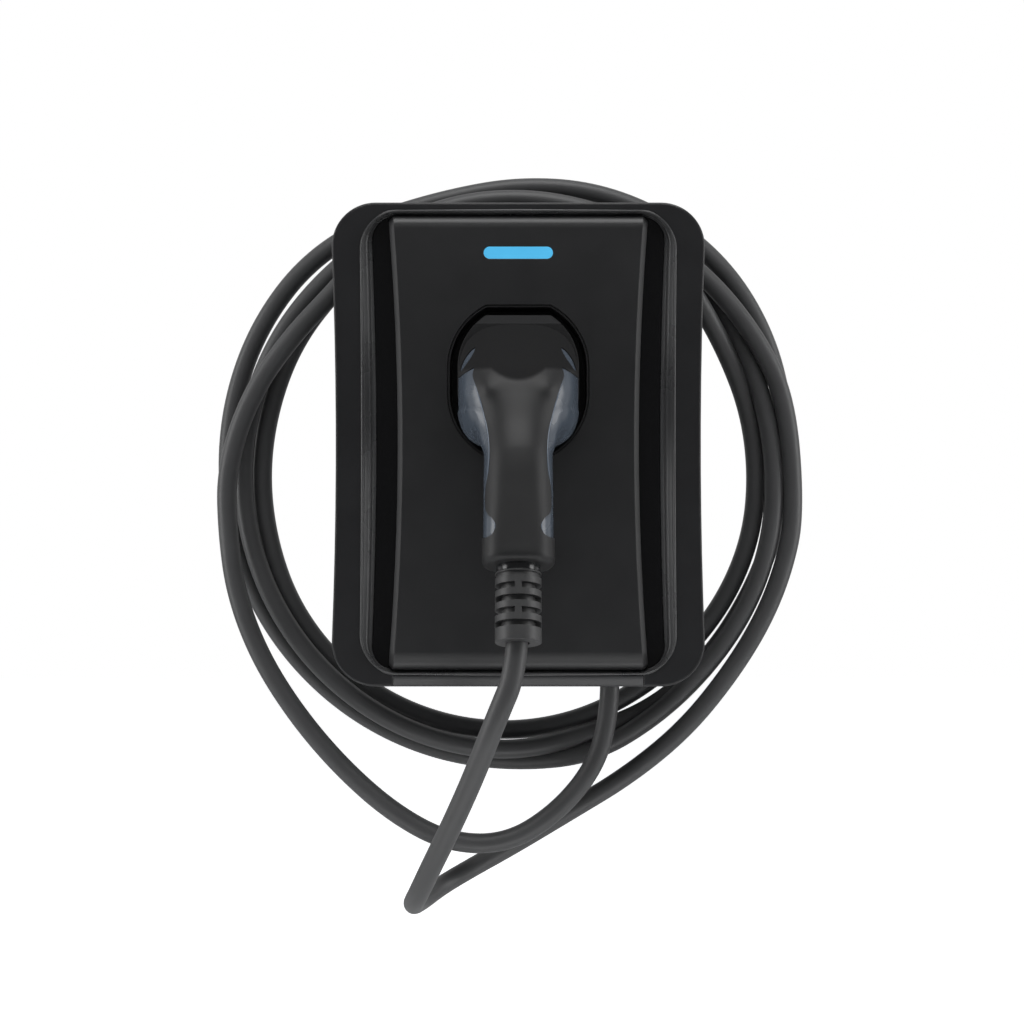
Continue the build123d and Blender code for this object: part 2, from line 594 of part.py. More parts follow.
def make_holster_cup():
    """Pocket for the connector's collar, with a deeper socket for its nose."""
    wall_top = POCKET_TOP + CUP_WALL
    back = POCKET_FLOOR_DEPTH - CUP_WALL
    body = prism(slot_outline(POCKET_RADIUS + CUP_WALL, wall_top, POCKET_CORNER), back, PANEL_BACK - CUP_PLAY)
    rim = slot_outline(POCKET_RADIUS + RIM_FILLET, POCKET_TOP + RIM_FILLET, POCKET_CORNER)
    body += prism(rim, PANEL_BACK - CUP_PLAY, PANEL_DEPTH - RIM_FILLET / 2)
    flange = slot_outline(POCKET_RADIUS + CUP_WALL + CUP_FLANGE, wall_top + CUP_FLANGE, POCKET_CORNER)
    body += prism(flange, FLOOR_DEPTH, FLOOR_DEPTH + CUP_FLANGE_THICKNESS)
    body += prism(nose_outline(NOSE_PLAY + CUP_WALL), NOSE_POCKET_DEPTH - CUP_WALL, back)
    body -= prism(slot_outline(POCKET_RADIUS, POCKET_TOP, POCKET_CORNER), POCKET_FLOOR_DEPTH, PANEL_DEPTH)
    body -= prism(nose_outline(NOSE_PLAY), NOSE_POCKET_DEPTH, POCKET_FLOOR_DEPTH)
    lowest = POCKET_MIDDLE - NOSE_RADIUS
    body -= upright(0, NOSE_POCKET_DEPTH + 2 * DRAIN_RADIUS, DRAIN_RADIUS, lowest - 3 * CUP_WALL, lowest + CUP_WALL)
    return body


# Electronics

def make_main_board():
    """Circuit board on its four bosses."""
    face = Pos(0, NECK_MIDDLE) * RectangleRounded(BOARD_WIDTH, BOARD_HEIGHT, 3)
    for x, z in board_hole_places():
        face -= Pos(x, z) * Circle(BOARD_SCREW_RADIUS + 0.25)
    return prism(face, BOARD_BACK, BOARD_FRONT)


def on_board(place, size, edge=1.0):
    """A block-shaped component with rounded upright edges, standing on the board."""
    x, z = place
    width, height, thickness = size
    face = Pos(x, NECK_MIDDLE + z) * RectangleRounded(width, height, edge)
    return prism(face, BOARD_FRONT, BOARD_FRONT + thickness)


def make_relay(side):
    """Power relay with a moulded lid step, on one side of the board's middle."""
    x, z = RELAY_PLACE
    width, height, thickness = RELAY_SIZE
    lid = (width - 2 * RELAY_LID_STEP, height - 2 * RELAY_LID_STEP, thickness + RELAY_LID)
    return on_board((side * x, z), RELAY_SIZE) + on_board((side * x, z), lid)


def terminal_x(centre, pole):
    """Where one pole of a terminal block stands."""
    return centre + (pole - (TERMINAL_POLES - 1) / 2) * TERMINAL_WIDTH / TERMINAL_POLES


def terminal_low():
    """Height of the terminal blocks' lower face."""
    return NECK_MIDDLE - BOARD_HEIGHT / 2 + TERMINAL_FOOT


def make_terminals(centre):
    """Screw terminal block: funnels below, screw wells in front."""
    low = terminal_low()
    body = block(centre - TERMINAL_WIDTH / 2, centre + TERMINAL_WIDTH / 2, BOARD_FRONT,
                 BOARD_FRONT + TERMINAL_DEPTH, low, low + TERMINAL_HEIGHT)
    for pole in range(TERMINAL_POLES):
        x = terminal_x(centre, pole)
        middle = BOARD_FRONT + TERMINAL_DEPTH / 2
        body -= upright(x, middle, CORE_RADIUS + CABLE_PLAY, low, low + TERMINAL_HEIGHT / 2)
        body -= peg(x, low + 2 * TERMINAL_HEIGHT / 3, TERMINAL_SCREW_RADIUS,
                    BOARD_FRONT + TERMINAL_DEPTH - TERMINAL_SCREW_WELL, BOARD_FRONT + TERMINAL_DEPTH)
    return body


def make_current_sensor():
    """Residual-current sensor: a block with the window that the cores would pass."""
    x, z = SENSOR_PLACE
    _, height, thickness = SENSOR_SIZE
    middle = NECK_MIDDLE + z
    window = upright(x, BOARD_FRONT + thickness / 2, SENSOR_WINDOW, middle - height / 2, middle + height / 2)
    return on_board(SENSOR_PLACE, SENSOR_SIZE, 3) - window


def make_fuse():
    """Cartridge fuse in its holder."""
    x, z = FUSE_PLACE
    axis_depth = BOARD_FRONT + FUSE_SIZE[2] + FUSE_GAP + FUSE_RADIUS
    holder = on_board(FUSE_PLACE, FUSE_SIZE)
    holder += Pos(x, -axis_depth, NECK_MIDDLE + z) * Rot(0, 90, 0) * Cylinder(FUSE_RADIUS, FUSE_LENGTH)
    for side in (-1, 1):
        clip_x = x + side * (FUSE_LENGTH - CLIP_SIZE[0]) / 2
        holder += on_board((clip_x, z), CLIP_SIZE)
    return holder


def make_capacitors():
    """Row of three capacitors standing on the board."""
    cans = []
    x, z = CAPACITOR_PLACE
    for i in range(CAPACITOR_COUNT):
        place = x + (i - (CAPACITOR_COUNT - 1) / 2) * CAPACITOR_PITCH
        can = peg(place, NECK_MIDDLE + z, CAPACITOR_RADIUS, BOARD_FRONT, BOARD_FRONT + CAPACITOR_HEIGHT)
        cans.append(can.solid())
    return Compound(children=cans)


def make_outlet_cores():
    """Three power cores from the cable's end to the terminals, each turning a little higher."""
    low = terminal_low()
    middle = BOARD_FRONT + TERMINAL_DEPTH / 2
    cores = []
    for pole in range(TERMINAL_POLES):
        x = OUTLET_X + (pole - (TERMINAL_POLES - 1) / 2) * CORE_PITCH
        end = terminal_x(TERMINAL_X, pole)
        turn = NECK_BOTTOM + CORE_RISE + pole * CORE_STEP
        points = [(x, GLAND_DEPTH, NECK_BOTTOM), (x, GLAND_DEPTH, turn),
                  (end, middle, low - CORE_DROP), (end, middle, low + TERMINAL_HEIGHT / 2 - CABLE_PLAY)]
        cores.append(route_tube(points, CORE_RADIUS).solid())
    return Compound(children=cores)


# Cable glands

def make_gland_body(x):
    """Gland body: threaded shank through the wall, hexagon shoulder, neck."""
    shoulder = NECK_BOTTOM - GLAND_SHOULDER
    shank_end = NECK_BOTTOM + HOUSING_WALL + NUT_THICKNESS + THREAD_RUN_OUT
    body = upright(x, GLAND_DEPTH, THREAD_RADIUS, NECK_BOTTOM, shank_end)
    hexagon = Plane.XY.offset(shoulder) * Pos(x, -GLAND_DEPTH) * RegularPolygon(HEX_FLATS / 2, 6, major_radius=False)
    body += extrude(hexagon, amount=GLAND_SHOULDER)
    body += upright(x, GLAND_DEPTH, GLAND_NECK_RADIUS, shoulder - GLAND_NECK, shoulder)
    return body - upright(x, GLAND_DEPTH, GLAND_BORE, shoulder - GLAND_NECK, shank_end)


def make_gland_cap(x, mouth):
    """Domed cap nut over the gland's neck."""
    high = NECK_BOTTOM - GLAND_SHOULDER - GLAND_CAP_GAP
    low = high - GLAND_CAP
    dome_top = low + CAP_DOME
    hexagon = Plane.XY.offset(dome_top) * Pos(x, -GLAND_DEPTH) * RegularPolygon(HEX_FLATS / 2, 6, major_radius=False)
    body = extrude(hexagon, amount=high - dome_top)
    dome = Cone(mouth + CAP_LIP, HEX_FLATS / 2 - FLANGE_GAP, CAP_DOME)
    body += Pos(x, -GLAND_DEPTH, low + CAP_DOME / 2) * dome
    neck_end = NECK_BOTTOM - GLAND_SHOULDER - GLAND_NECK
    body -= upright(x, GLAND_DEPTH, GLAND_NECK_RADIUS + THREAD_PLAY, neck_end, high)
    return body - upright(x, GLAND_DEPTH, mouth, low, neck_end)


def make_gland_seal(x, hole):
    """Rubber sleeve between the gland's bore and the cable."""
    neck_end = NECK_BOTTOM - GLAND_SHOULDER - GLAND_NECK
    sleeve = upright(x, GLAND_DEPTH, GLAND_BORE, neck_end, NECK_BOTTOM - SEAL_INSET)
    return sleeve - upright(x, GLAND_DEPTH, hole, neck_end, NECK_BOTTOM - SEAL_INSET)


def make_gland_nut(x):
    """Lock nut inside the housing."""
    low = NECK_BOTTOM + HOUSING_WALL
    hexagon = Plane.XY.offset(low) * Pos(x, -GLAND_DEPTH) * RegularPolygon(HEX_FLATS / 2, 6, major_radius=False)
    nut = extrude(hexagon, amount=NUT_THICKNESS)
    return nut - upright(x, GLAND_DEPTH, THREAD_RADIUS + NUT_PLAY, low, low + NUT_THICKNESS)


# Cable

def closed_curve(points):
    """Face inside a smooth closed curve through the points."""
    return make_face(Spline(*points, periodic=True))


def make_coil():
    """Outer shape of the wound turns, which sit on top of the neck."""
    body = prism(closed_curve(COIL_OUTSIDE), COIL_BACK, COIL_FRONT)
    body = fillet(body.edges(), COIL_ROUND)
    body -= prism(closed_curve(COIL_INSIDE), COIL_BACK, COIL_FRONT)
    body -= prism(neck_outline(COIL_SEAT_GAP), 0, SKIRT_BACK)
    body += route_tube([LEAD_IN[-1], onward(LEAD_IN, LEAD_IN_RUN_ON), LEAD_IN_SUNK], CABLE_RADIUS)
    upwards = [LEAD_OUT[1], LEAD_OUT[0]]
    body += route_tube([LEAD_OUT[0], onward(upwards, LEAD_OUT_RUN_ON), LEAD_OUT_SUNK], CABLE_RADIUS)
    return body.solid()


def boot_point(along):
    """A point on the boot's axis, measured from the handle's end: x, depth, height."""
    tilt = radians(GRIP_TILT)
    depth = COLLAR_FRONT + GRIP_REACH + along * sin(tilt)
    return (0, depth, POCKET_MIDDLE - GRIP_FALL - along * cos(tilt))


def lead_out_route():
    """The hand-chosen route, ended by a straight run along the boot's axis."""
    mouth = NECK_RING_LENGTH + BOOT_LENGTH
    return LEAD_OUT + [boot_point(mouth + 14), boot_point(mouth - BOOT_SOCKET)]


# Connector

def grip_plane(along=0.0):
    """Plane across the handle's axis, its normal pointing to the handle's free end."""
    tilt = radians(GRIP_TILT)
    _, depth, height = boot_point(along)
    return Plane(origin=(0, -depth, height), x_dir=(1, 0, 0), z_dir=(0, -sin(tilt), -cos(tilt)))


def section(inner, outer, half_width, grow, exponent=2.3):
    """One smooth closed section between an inner and an outer point, given as depth and height."""
    middle_depth = (inner[0] + outer[0]) / 2
    middle_height = (inner[1] + outer[1]) / 2
    up = Vector(0, -(outer[0] - inner[0]), outer[1] - inner[1])
    half_height = up.length / 2 + grow
    half_width = half_width + grow
    plane = Plane(origin=(0, -middle_depth, middle_height), x_dir=(1, 0, 0), z_dir=Vector(1, 0, 0).cross(up))
    points = []
    for k in range(12):
        angle = k * pi / 6
        c, s = cos(angle), sin(angle)
        x = half_width * abs(c) ** (2 / exponent) * (1 if c >= 0 else -1)
        y = half_height * abs(s) ** (2 / exponent) * (1 if s >= 0 else -1)
        points.append((x, y))
    return plane * make_face(Spline(*points, periodic=True))


def grip_section(along, shrink, grow):
    """A section across the straight handle, measured from its end."""
    tilt = radians(GRIP_TILT)
    _, depth, height = boot_point(along)
    reach = GRIP_HALF_THICKNESS - shrink
    inner = (depth - reach * cos(tilt), height - reach * sin(tilt))
    outer = (depth + reach * cos(tilt), height + reach * sin(tilt))
    return section(inner, outer, GRIP_HALF_WIDTH - shrink, grow)


def gun_form(grow):
    """The connector's head and handle as one flowing form."""
    wide = POCKET_RADIUS - COLLAR_GAP - HEAD_DROP
    low = POCKET_LOW - wide
    top = POCKET_TOP - HEAD_TOP_DROP
    start = COLLAR_FRONT
    sections = []
    for (inner, fall), (outer, drop), slim in HEAD_SECTIONS:
        sections.append(section((start + inner, low - fall), (start + outer, top - drop), wide - slim, grow))
    for along, slim in GRIP_SECTIONS:
        sections.append(grip_section(along, slim, grow))
    return loft(sections)


def overmould_region():
    """Where rubber covers the shell: hood, spine and lower collar, as seen from the front and the side."""
    outline = RUBBER_FRONT + [(-x, z) for x, z in reversed(RUBBER_FRONT) if x > 0]
    face = Pos(0, POCKET_MIDDLE) * make_face(Polyline(*outline, close=True))
    front = prism(face, COLLAR_FRONT, COLLAR_FRONT + RUBBER_REACH)
    places = [(-COLLAR_FRONT - depth, POCKET_MIDDLE + z) for depth, z in RUBBER_SIDE]
    face = Plane.YZ.offset(-POCKET_RADIUS) * make_face(Polyline(*places, close=True))
    return front & extrude(face, amount=2 * POCKET_RADIUS)


def make_gun_body():
    """Hard shell of the connector, where the rubber leaves it bare."""
    return gun_form(0) - overmould_region()


def make_gun_grip():
    """Rubber over-mould: hood, spine and lower collar."""
    return gun_form(OVERMOULD) & overmould_region()


def make_gun_collar():
    """Front collar of the connector, which stands in the holster's pocket."""
    radius = POCKET_RADIUS - COLLAR_GAP
    top = POCKET_TOP - COLLAR_GAP - HEAD_DROP
    wide = slot_outline(radius, top, POCKET_CORNER)
    small = slot_outline(radius - HEAD_DROP, POCKET_TOP - HEAD_TOP_DROP + HEAD_DROP, POCKET_CORNER)
    shoulder = COLLAR_FRONT - COLLAR_TAPER
    taper = loft([Plane.XZ.offset(shoulder) * wide, Plane.XZ.offset(COLLAR_FRONT) * small])
    return prism(wide, COLLAR_BACK, shoulder) + taper


def pin_places():
    """Seven contacts: three large above the middle, two large below, two small at the top."""
    large = [(-14.0, 0.0), (0.0, 0.0), (14.0, 0.0), (-8.0, -14.0), (8.0, -14.0)]
    small = [(-7.0, 12.0), (7.0, 12.0)]
    return [(x, z, POWER_PIN_RADIUS) for x, z in large] + [(x, z, SIGNAL_PIN_RADIUS) for x, z in small]


def make_gun_nose():
    """Shroud and contact block of the connector."""
    body = prism(nose_outline(0), NOSE_TIP, COLLAR_BACK)
    gap = nose_outline(-SHROUD_WALL) - nose_outline(-SHROUD_WALL - SHROUD_GAP)
    body -= prism(gap, NOSE_TIP, NOSE_TIP + SHROUD_GAP_LENGTH)
    for x, z, radius in pin_places():
        body -= peg(x, POCKET_MIDDLE + z, radius + PIN_WALL, NOSE_TIP, NOSE_TIP + PIN_LENGTH)
    return body


def make_gun_contacts():
    """Contact sleeves, seated at the bottom of their wells."""
    sleeves = []
    for x, z, radius in pin_places():
        ring = Circle(radius + PIN_WALL) - Circle(radius)
        sleeve = prism(Pos(x, POCKET_MIDDLE + z) * ring, NOSE_TIP + PIN_INSET, NOSE_TIP + PIN_LENGTH)
        sleeves.append(sleeve.solid())
    return Compound(children=sleeves)


def make_neck_ring():
    """Short ring between the handle and the boot."""
    return extrude(grip_plane() * Circle(NECK_RING_RADIUS), amount=NECK_RING_LENGTH)


def make_boot():
    """Segmented strain relief: ribs joined by webs that alternate front to side."""
    start = NECK_RING_LENGTH
    body = extrude(grip_plane(start) * Circle(BOOT_RADIUS), amount=BOOT_LENGTH)
    body = fillet(body.edges().filter_by(GeomType.CIRCLE), BOOT_EDGE)
    ring = Circle(BOOT_RADIUS + 1) - Circle(BOOT_RADIUS - BOOT_GROOVE)
    body -= extrude(grip_plane(start + BOOT_GROOVE) * ring, amount=2 * BOOT_GROOVE)
    for row in range(BOOT_SLOTS):
        along = start + BOOT_FIRST_SLOT + row * BOOT_RIB_PITCH
        cut = Circle(BOOT_RADIUS + 1) - Circle(BOOT_CORE_RADIUS)
        long_way = 3 * BOOT_RADIUS
        if row % 2 == 0:
            cut -= Rectangle(BOOT_WEB, long_way)
        else:
            cut -= Rectangle(long_way, BOOT_WEB)
        body -= extrude(grip_plane(along) * cut, amount=BOOT_SLOT)
    hole = grip_plane(start + BOOT_LENGTH - BOOT_SOCKET) * Circle(CABLE_RADIUS + CABLE_PLAY)
    return body - extrude(hole, amount=BOOT_SOCKET)


def build_all():
    """Every piece by its node name."""
    parts = {
        "rear_housing": make_rear_housing(),
        "housing_gasket": make_gasket(),
        "front_frame": make_front_frame(),
        "centre_panel": make_centre_panel(),
        "side_insert_left": make_side_insert(-1),
        "side_insert_right": make_side_insert(1),
        "bottom_trim": make_bottom_trim(),
        "frame_screws": make_screws(frame_screw_places(), SCREW_RADIUS, SCREW_HEAD_RADIUS, SCREW_HEAD_HEIGHT,
                                    SKIRT_BACK + SCREW_HEAD_HEIGHT + HEAD_PLAY,
                                    SKIRT_BACK + SCREW_HEAD_HEIGHT + SCREW_LENGTH),
        "panel_screws": make_screws(post_places(), BOARD_SCREW_RADIUS, PANEL_SCREW_HEAD_RADIUS,
                                    PANEL_SCREW_HEAD_HEIGHT, FLOOR_BACK, PANEL_BACK - BLIND_END - TIP_PLAY),
        "light_bar": make_light_bar(),
        "led_board": make_led_board(),
        "led_chips": make_led_chips(),
        "holster_cup": make_holster_cup(),
        "main_board": make_main_board(),
        "board_screws": make_screws(board_hole_places(), BOARD_SCREW_RADIUS, BOARD_SCREW_HEAD_RADIUS,
                                    BOARD_SCREW_HEAD_HEIGHT, BOARD_FRONT, REAR_WALL + BLIND_END + TIP_PLAY),
        "relay_line": make_relay(-1),
        "relay_neutral": make_relay(1),
        "current_sensor": make_current_sensor(),
        "power_supply": on_board(POWER_SUPPLY_PLACE, POWER_SUPPLY_SIZE, 2),
        "comms_module": on_board(COMMS_PLACE, COMMS_SIZE),
        "control_chip": on_board(CHIP_PLACE, CHIP_SIZE, 0.5),
        "fuse": make_fuse(),
        "capacitors": make_capacitors(),
        "supply_terminals": make_terminals(-TERMINAL_X),
        "outlet_terminals": make_terminals(TERMINAL_X),
        "outlet_cores": make_outlet_cores(),
        "cable_coil": make_coil(),
        "cable_lead_in": route_tube(LEAD_IN, CABLE_RADIUS, "cable_lead_in"),
        "cable_lead_out": route_tube(lead_out_route(), CABLE_RADIUS, "cable_lead_out"),
        "gun_collar": make_gun_collar(),
        "gun_nose": make_gun_nose(),
        "gun_contacts": make_gun_contacts(),
        "gun_body": make_gun_body(),
        "gun_grip": make_gun_grip(),
        "gun_neck_ring": make_neck_ring(),
        "gun_boot": make_boot(),
    }
    for name, x, hole, mouth in (("outlet", OUTLET_X, CABLE_RADIUS + CABLE_PLAY, CABLE_RADIUS + CABLE_PLAY),
                                 ("supply", SUPPLY_X, SUPPLY_BORE, SUPPLY_BORE)):
        parts[name + "_gland_body"] = make_gland_body(x)
        parts[name + "_gland_cap"] = make_gland_cap(x, mouth)
        parts[name + "_gland_seal"] = make_gland_seal(x, hole)
        parts[name + "_gland_nut"] = make_gland_nut(x)
    return parts


os.makedirs("parts", exist_ok=True)
for node, shape in build_all().items():
    export_step(shape, f"parts/{node}.step")
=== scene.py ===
import bpy
import json
import math
import numpy as np
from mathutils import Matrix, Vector


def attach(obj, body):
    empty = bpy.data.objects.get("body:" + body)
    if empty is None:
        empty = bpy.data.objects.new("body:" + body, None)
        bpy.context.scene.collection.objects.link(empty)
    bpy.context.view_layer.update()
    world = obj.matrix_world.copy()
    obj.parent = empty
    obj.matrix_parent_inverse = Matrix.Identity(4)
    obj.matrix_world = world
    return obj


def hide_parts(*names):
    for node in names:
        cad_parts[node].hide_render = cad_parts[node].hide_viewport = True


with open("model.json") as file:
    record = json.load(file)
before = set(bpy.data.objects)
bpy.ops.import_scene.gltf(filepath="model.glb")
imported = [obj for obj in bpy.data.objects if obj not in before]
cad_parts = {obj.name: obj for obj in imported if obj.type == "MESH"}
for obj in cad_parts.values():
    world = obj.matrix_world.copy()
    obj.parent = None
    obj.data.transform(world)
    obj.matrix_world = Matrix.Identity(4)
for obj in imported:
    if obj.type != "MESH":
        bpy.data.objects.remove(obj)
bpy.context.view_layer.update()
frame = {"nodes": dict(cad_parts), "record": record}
NODES = frame["nodes"]
scene = bpy.context.scene
scene.view_settings.view_transform = "Standard"

# Camera: level, in front of the wall, with the photograph's framing; metres, and millimetres for the sensor
CAMERA_AT = (0.0, -1.031, -0.0446)
FOCAL_PIXELS = 1422.0
FRAME_PIXELS = 1024
SENSOR_WIDTH = 36.0
SIDE_SHIFT = -0.00615

# Bezel's well in millimetres: lip, slope below it and foot of the slope
BEZEL_FACE = 92.0
LIP_WIDTH = 208.8
LIP_LOW = -151.6
LIP_HIGH = 154.2
LIP_WAIST = 1.8
LIP_CORNER = 25.0
SLOPE_RUN = 6.2
SLOPE_RUN_END = 1.6
WELL_CORNER = 16.0
WELL_DEEP = 9.0

# Rolled ends of the panel and the trim, in metres: height of the end, run inward from it, and drop
PANEL_ROLLS = [(-0.1496, 0.0130, 0.0024), (0.1516, -0.0090, 0.0011)]
TRIM_ROLLS = [(-0.162, 0.0092, 0.0022)]
ROLL_MARGIN = 0.001

# Cable's route in millimetres, as x, depth and height: the source's points, moved a little to follow
# the photograph. The last point lies inside the connector's boot
LEAD_IN = [(64, 43, -122), (64, 43, -155), (62.5, 44, -188), (53, 47, -221), (27, 51, -251.5),
           (-8, 55, -272.5), (-48, 58, -270.8), (-85, 58, -251), (-120.5, 56, -220.5), (-152, 53.5, -184.5),
           (-178.3, 51, -144), (-195, 49, -101), (-201.2, 47, -57.5), (-202.4, 45.4, -15)]
LEAD_OUT = [(194.8, 30, -45), (187, 30, -84), (171.5, 31, -122), (147.5, 32, -160), (116.5, 33, -197.5),
            (77.5, 34, -229), (35, 34.5, -254.5), (-4, 34, -278), (-34, 34.5, -294.5), (-54, 47, -303.5),
            (-66, 70, -307.5), (-69.5, 100, -302), (-64, 126, -288.5), (-54, 146, -265), (-41, 161, -237),
            (-26.5, 176, -203), (-13.5, 190.5, -168), (0, 190.8, -136.0), (0, 179.2, -98.2)]

# Wound turns: angle (0 left, 90 top, 180 right, 270 bottom), radius from the turns' middle, and depth
TURN_MIDDLE = -16.0
TURN_STEP = 15.0
TURNS = [(0, 200, 45.4), (9.4, 194.8, 45.2), (21.6, 188.3, 44.9), (30, 181.8, 44.6), (42.4, 176, 44),
         (52, 181.5, 43.7), (60, 187, 43.6), (75, 178, 43.5), (90, 172, 43.5), (105, 179, 43.5),
         (120, 187, 43), (130, 176.5, 40), (137, 171.8, 36), (143, 168.4, 31.5), (149, 168.4, 27),
         (156, 168.2, 22), (167, 168.7, 18), (177, 168.9, 16.5), (187, 169.4, 16), (197, 171.4, 16),
         (208, 172, 16), (216.3, 172.6, 15.5), (233, 174.8, 13), (245, 178.5, 10), (260.3, 182.8, 9.2),
         (275, 185.5, 9.5), (290, 187.3, 11.5), (310, 188.3, 14), (324.2, 187.5, 15.5), (334.5, 185.8, 16.3),
         (344, 183.6, 16.8), (353.5, 183, 17), (362.8, 182, 17), (372.3, 181.7, 17), (382, 181.8, 17),
         (392, 183.3, 17), (403, 183.3, 17), (412, 183.6, 16.5), (420, 187, 16), (435, 177, 15.75),
         (450, 166, 15.75), (465, 177, 15.75), (480, 187, 15.75), (490, 186, 15.75), (497, 184, 16.5),
         (509, 182.5, 21.2), (516, 181.3, 24.3), (520, 180, 26.5), (529, 178.2, 28.3), (538, 179.3, 28.5),
         (545, 181, 28.5), (555, 183, 29.25), (567.3, 185.7, 28.5), (580.6, 188.6, 28), (593.2, 192.9, 27.9),
         (603, 198.1, 27.2), (610, 203.2, 26.6), (616, 205.6, 23.6), (623, 206.8, 18), (630, 205.3, 15.75),
         (645, 205.8, 15.75), (681, 206.1, 15.75), (690.3, 206.4, 15.75), (722, 207, 15.75),
         (730, 208, 15.75), (745.8, 209.9, 15.75), (754.4, 210.7, 15.75), (764, 210.7, 15.75),
         (771.8, 209.3, 15.75), (783, 203.5, 15.75), (794.3, 199.8, 15.75), (802.5, 201.4, 15.75),
         (810.3, 202.4, 15.75), (818, 204.5, 15.75), (826, 206.2, 15.75), (834, 207.2, 15.75),
         (854.6, 205.6, 15.75), (864, 202.7, 15.75), (872.8, 199.3, 15.75), (881, 196.2, 15.75),
         (892, 190.5, 15.75), (902, 187.5, 15.75), (915, 186.8, 15), (927.3, 186.2, 14.6),
         (940.6, 188.2, 14.2), (953.2, 191.5, 14.2), (963, 193.1, 14.6), (970, 192.3, 17.2),
         (976, 191.4, 20), (983, 192, 24), (990, 196, 28), (1000, 197, 29.25), (1015, 197, 29.25),
         (1035, 196, 29.25), (1060, 194.5, 29.25), (1080, 193.5, 29.25), (1100, 192.5, 29.25),
         (1112.2, 192.2, 29.25), (1120, 191.2, 29.25), (1127.9, 191.1, 29.25), (1145, 191.5, 29.25),
         (1159, 192.4, 29.25), (1170, 191.5, 29.25), (1195, 189.5, 30), (1212.4, 188.7, 31.3),
         (1223, 189.1, 32.8), (1232, 190.2, 33.3), (1241.4, 192.8, 33.3), (1250.6, 194, 33),
         (1258, 195.4, 31.5)]

# Cable's diameter in metres, and how finely its line and its round section are divided
CABLE_DIAMETER = 0.0135
CABLE_SEGMENTS = 10
CABLE_ROUNDNESS = 8


def make_camera():
    data = bpy.data.cameras.new("view_camera")
    data.sensor_width = SENSOR_WIDTH
    data.lens = FOCAL_PIXELS / FRAME_PIXELS * SENSOR_WIDTH
    data.shift_x = SIDE_SHIFT
    data.clip_start = 0.01
    camera = bpy.data.objects.new("view_camera", data)
    camera.location = CAMERA_AT
    camera.rotation_euler = (math.pi / 2, 0, 0)
    scene.collection.objects.link(camera)
    scene.camera = camera


def to_metres(points):
    """Points given as x, depth and height in millimetres, in the frame's axes."""
    return [(x / 1000, -depth / 1000, z / 1000) for x, depth, z in points]


def smooth_slopes(rows, at):
    """Slope at each row, flat at both ends and wherever a value turns, and the plain steps between rows."""
    steps = np.diff(rows, axis=0) / np.diff(at)[:, None]
    slopes = np.zeros_like(rows)
    for i in range(1, len(rows) - 1):
        before, after = steps[i - 1], steps[i]
        same = before * after > 0
        slopes[i][same] = 2 * before[same] * after[same] / (before[same] + after[same])
    return slopes, steps


def between(rows, at, slopes, i, t):
    """The values at share t of the way from row i to the next one, on a smooth curve."""
    run = at[i + 1] - at[i]
    return ((2 * t**3 - 3 * t**2 + 1) * rows[i] + (t**3 - 2 * t**2 + t) * run * slopes[i]
            + (3 * t**2 - 2 * t**3) * rows[i + 1] + (t**3 - t**2) * run * slopes[i + 1])


def turn_points():
    """Control points of the wound turns, a little outside the line so that the spline lands on it."""
    table = np.array(TURNS, float)
    angles, rows = table[:, 0], table[:, 1:]
    slopes = smooth_slopes(rows, angles)[0]
    grow = 4 / (3 + math.cos(math.radians(TURN_STEP)))
    points = []
    for angle in np.arange(TURN_STEP, angles[-1], TURN_STEP):
        i = int(np.searchsorted(angles, angle)) - 1
        t = (angle - angles[i]) / (angles[i + 1] - angles[i])
        radius, depth = between(rows, angles, slopes, i, t)
        turn = math.radians(angle)
        x = -radius * grow * math.cos(turn)
        z = TURN_MIDDLE + radius * grow * math.sin(turn)
        points.append((x, depth, z))
    return points


def make_cable():
    """The charging cable: one spline from the outlet's gland through the turns to the connector."""
    curve = bpy.data.curves.new("charging_cable", "CURVE")
    curve.dimensions = "3D"
    spline = curve.splines.new("NURBS")
    route = to_metres(LEAD_IN + turn_points() + LEAD_OUT)
    spline.points.add(len(route) - 1)
    for point, place in zip(spline.points, route):
        point.co = (*place, 1)
    spline.order_u = 3
    spline.use_endpoint_u = True
    spline.resolution_u = CABLE_SEGMENTS
    curve.bevel_depth = CABLE_DIAMETER / 2
    curve.bevel_resolution = CABLE_ROUNDNESS
    cable = bpy.data.objects.new("charging_cable", curve)
    scene.collection.objects.link(cable)
    return cable


make_camera()
cable = make_cable()

# Moulded surfaces: slow drift of tint and roughness, fine grain, softened edges, clear coat
TINT_DRIFT = 0.12
ROUGH_DRIFT = 0.05
DRIFT_SCALE = 38.0
DRIFT_DETAIL = 3.0
GRAIN_DETAIL = 2.0
GRAIN_STRENGTH = 0.35
EDGE_SAMPLES = 4
COAT_ROUGH = 0.1

# Hood of the over-mould, in metres: it starts at a line that is lowest in the middle. The hood is rougher,
# and its darker colour is painted shade
HOOD_FROM = 0.0355
HOOD_FULL = 0.0395
HOOD_CURVE = 26.0
HOOD_RISE = 0.0075
# Painted shade: the hood's darker colour
HOOD_PAINTED_SHADE = (0.0028, 0.0028, 0.0032, 1)
HOOD_ROUGH = 0.85

# Light bar: its body, and the drift of its glow between two blues
GLOW_BODY = (0.03, 0.18, 0.32, 1)
GLOW_LOW = (0.066, 0.40, 0.68, 1)
GLOW_HIGH = (0.088, 0.50, 0.80, 1)
GLOW_STRENGTH = 0.70
GLOW_ROUGH = 0.35
GLOW_SCALE = 60.0
GLOW_DETAIL = 2.0

# First input, second input and output of a Mix node, by what it mixes
MIX_SOCKETS = {"RGBA": (6, 7, 2), "FLOAT": (2, 3, 0)}


def new_material(name):
    mat = bpy.data.materials.new(name)
    mat.use_nodes = True
    tree = mat.node_tree
    shader = tree.nodes["Principled BSDF"]
    return mat, tree, shader


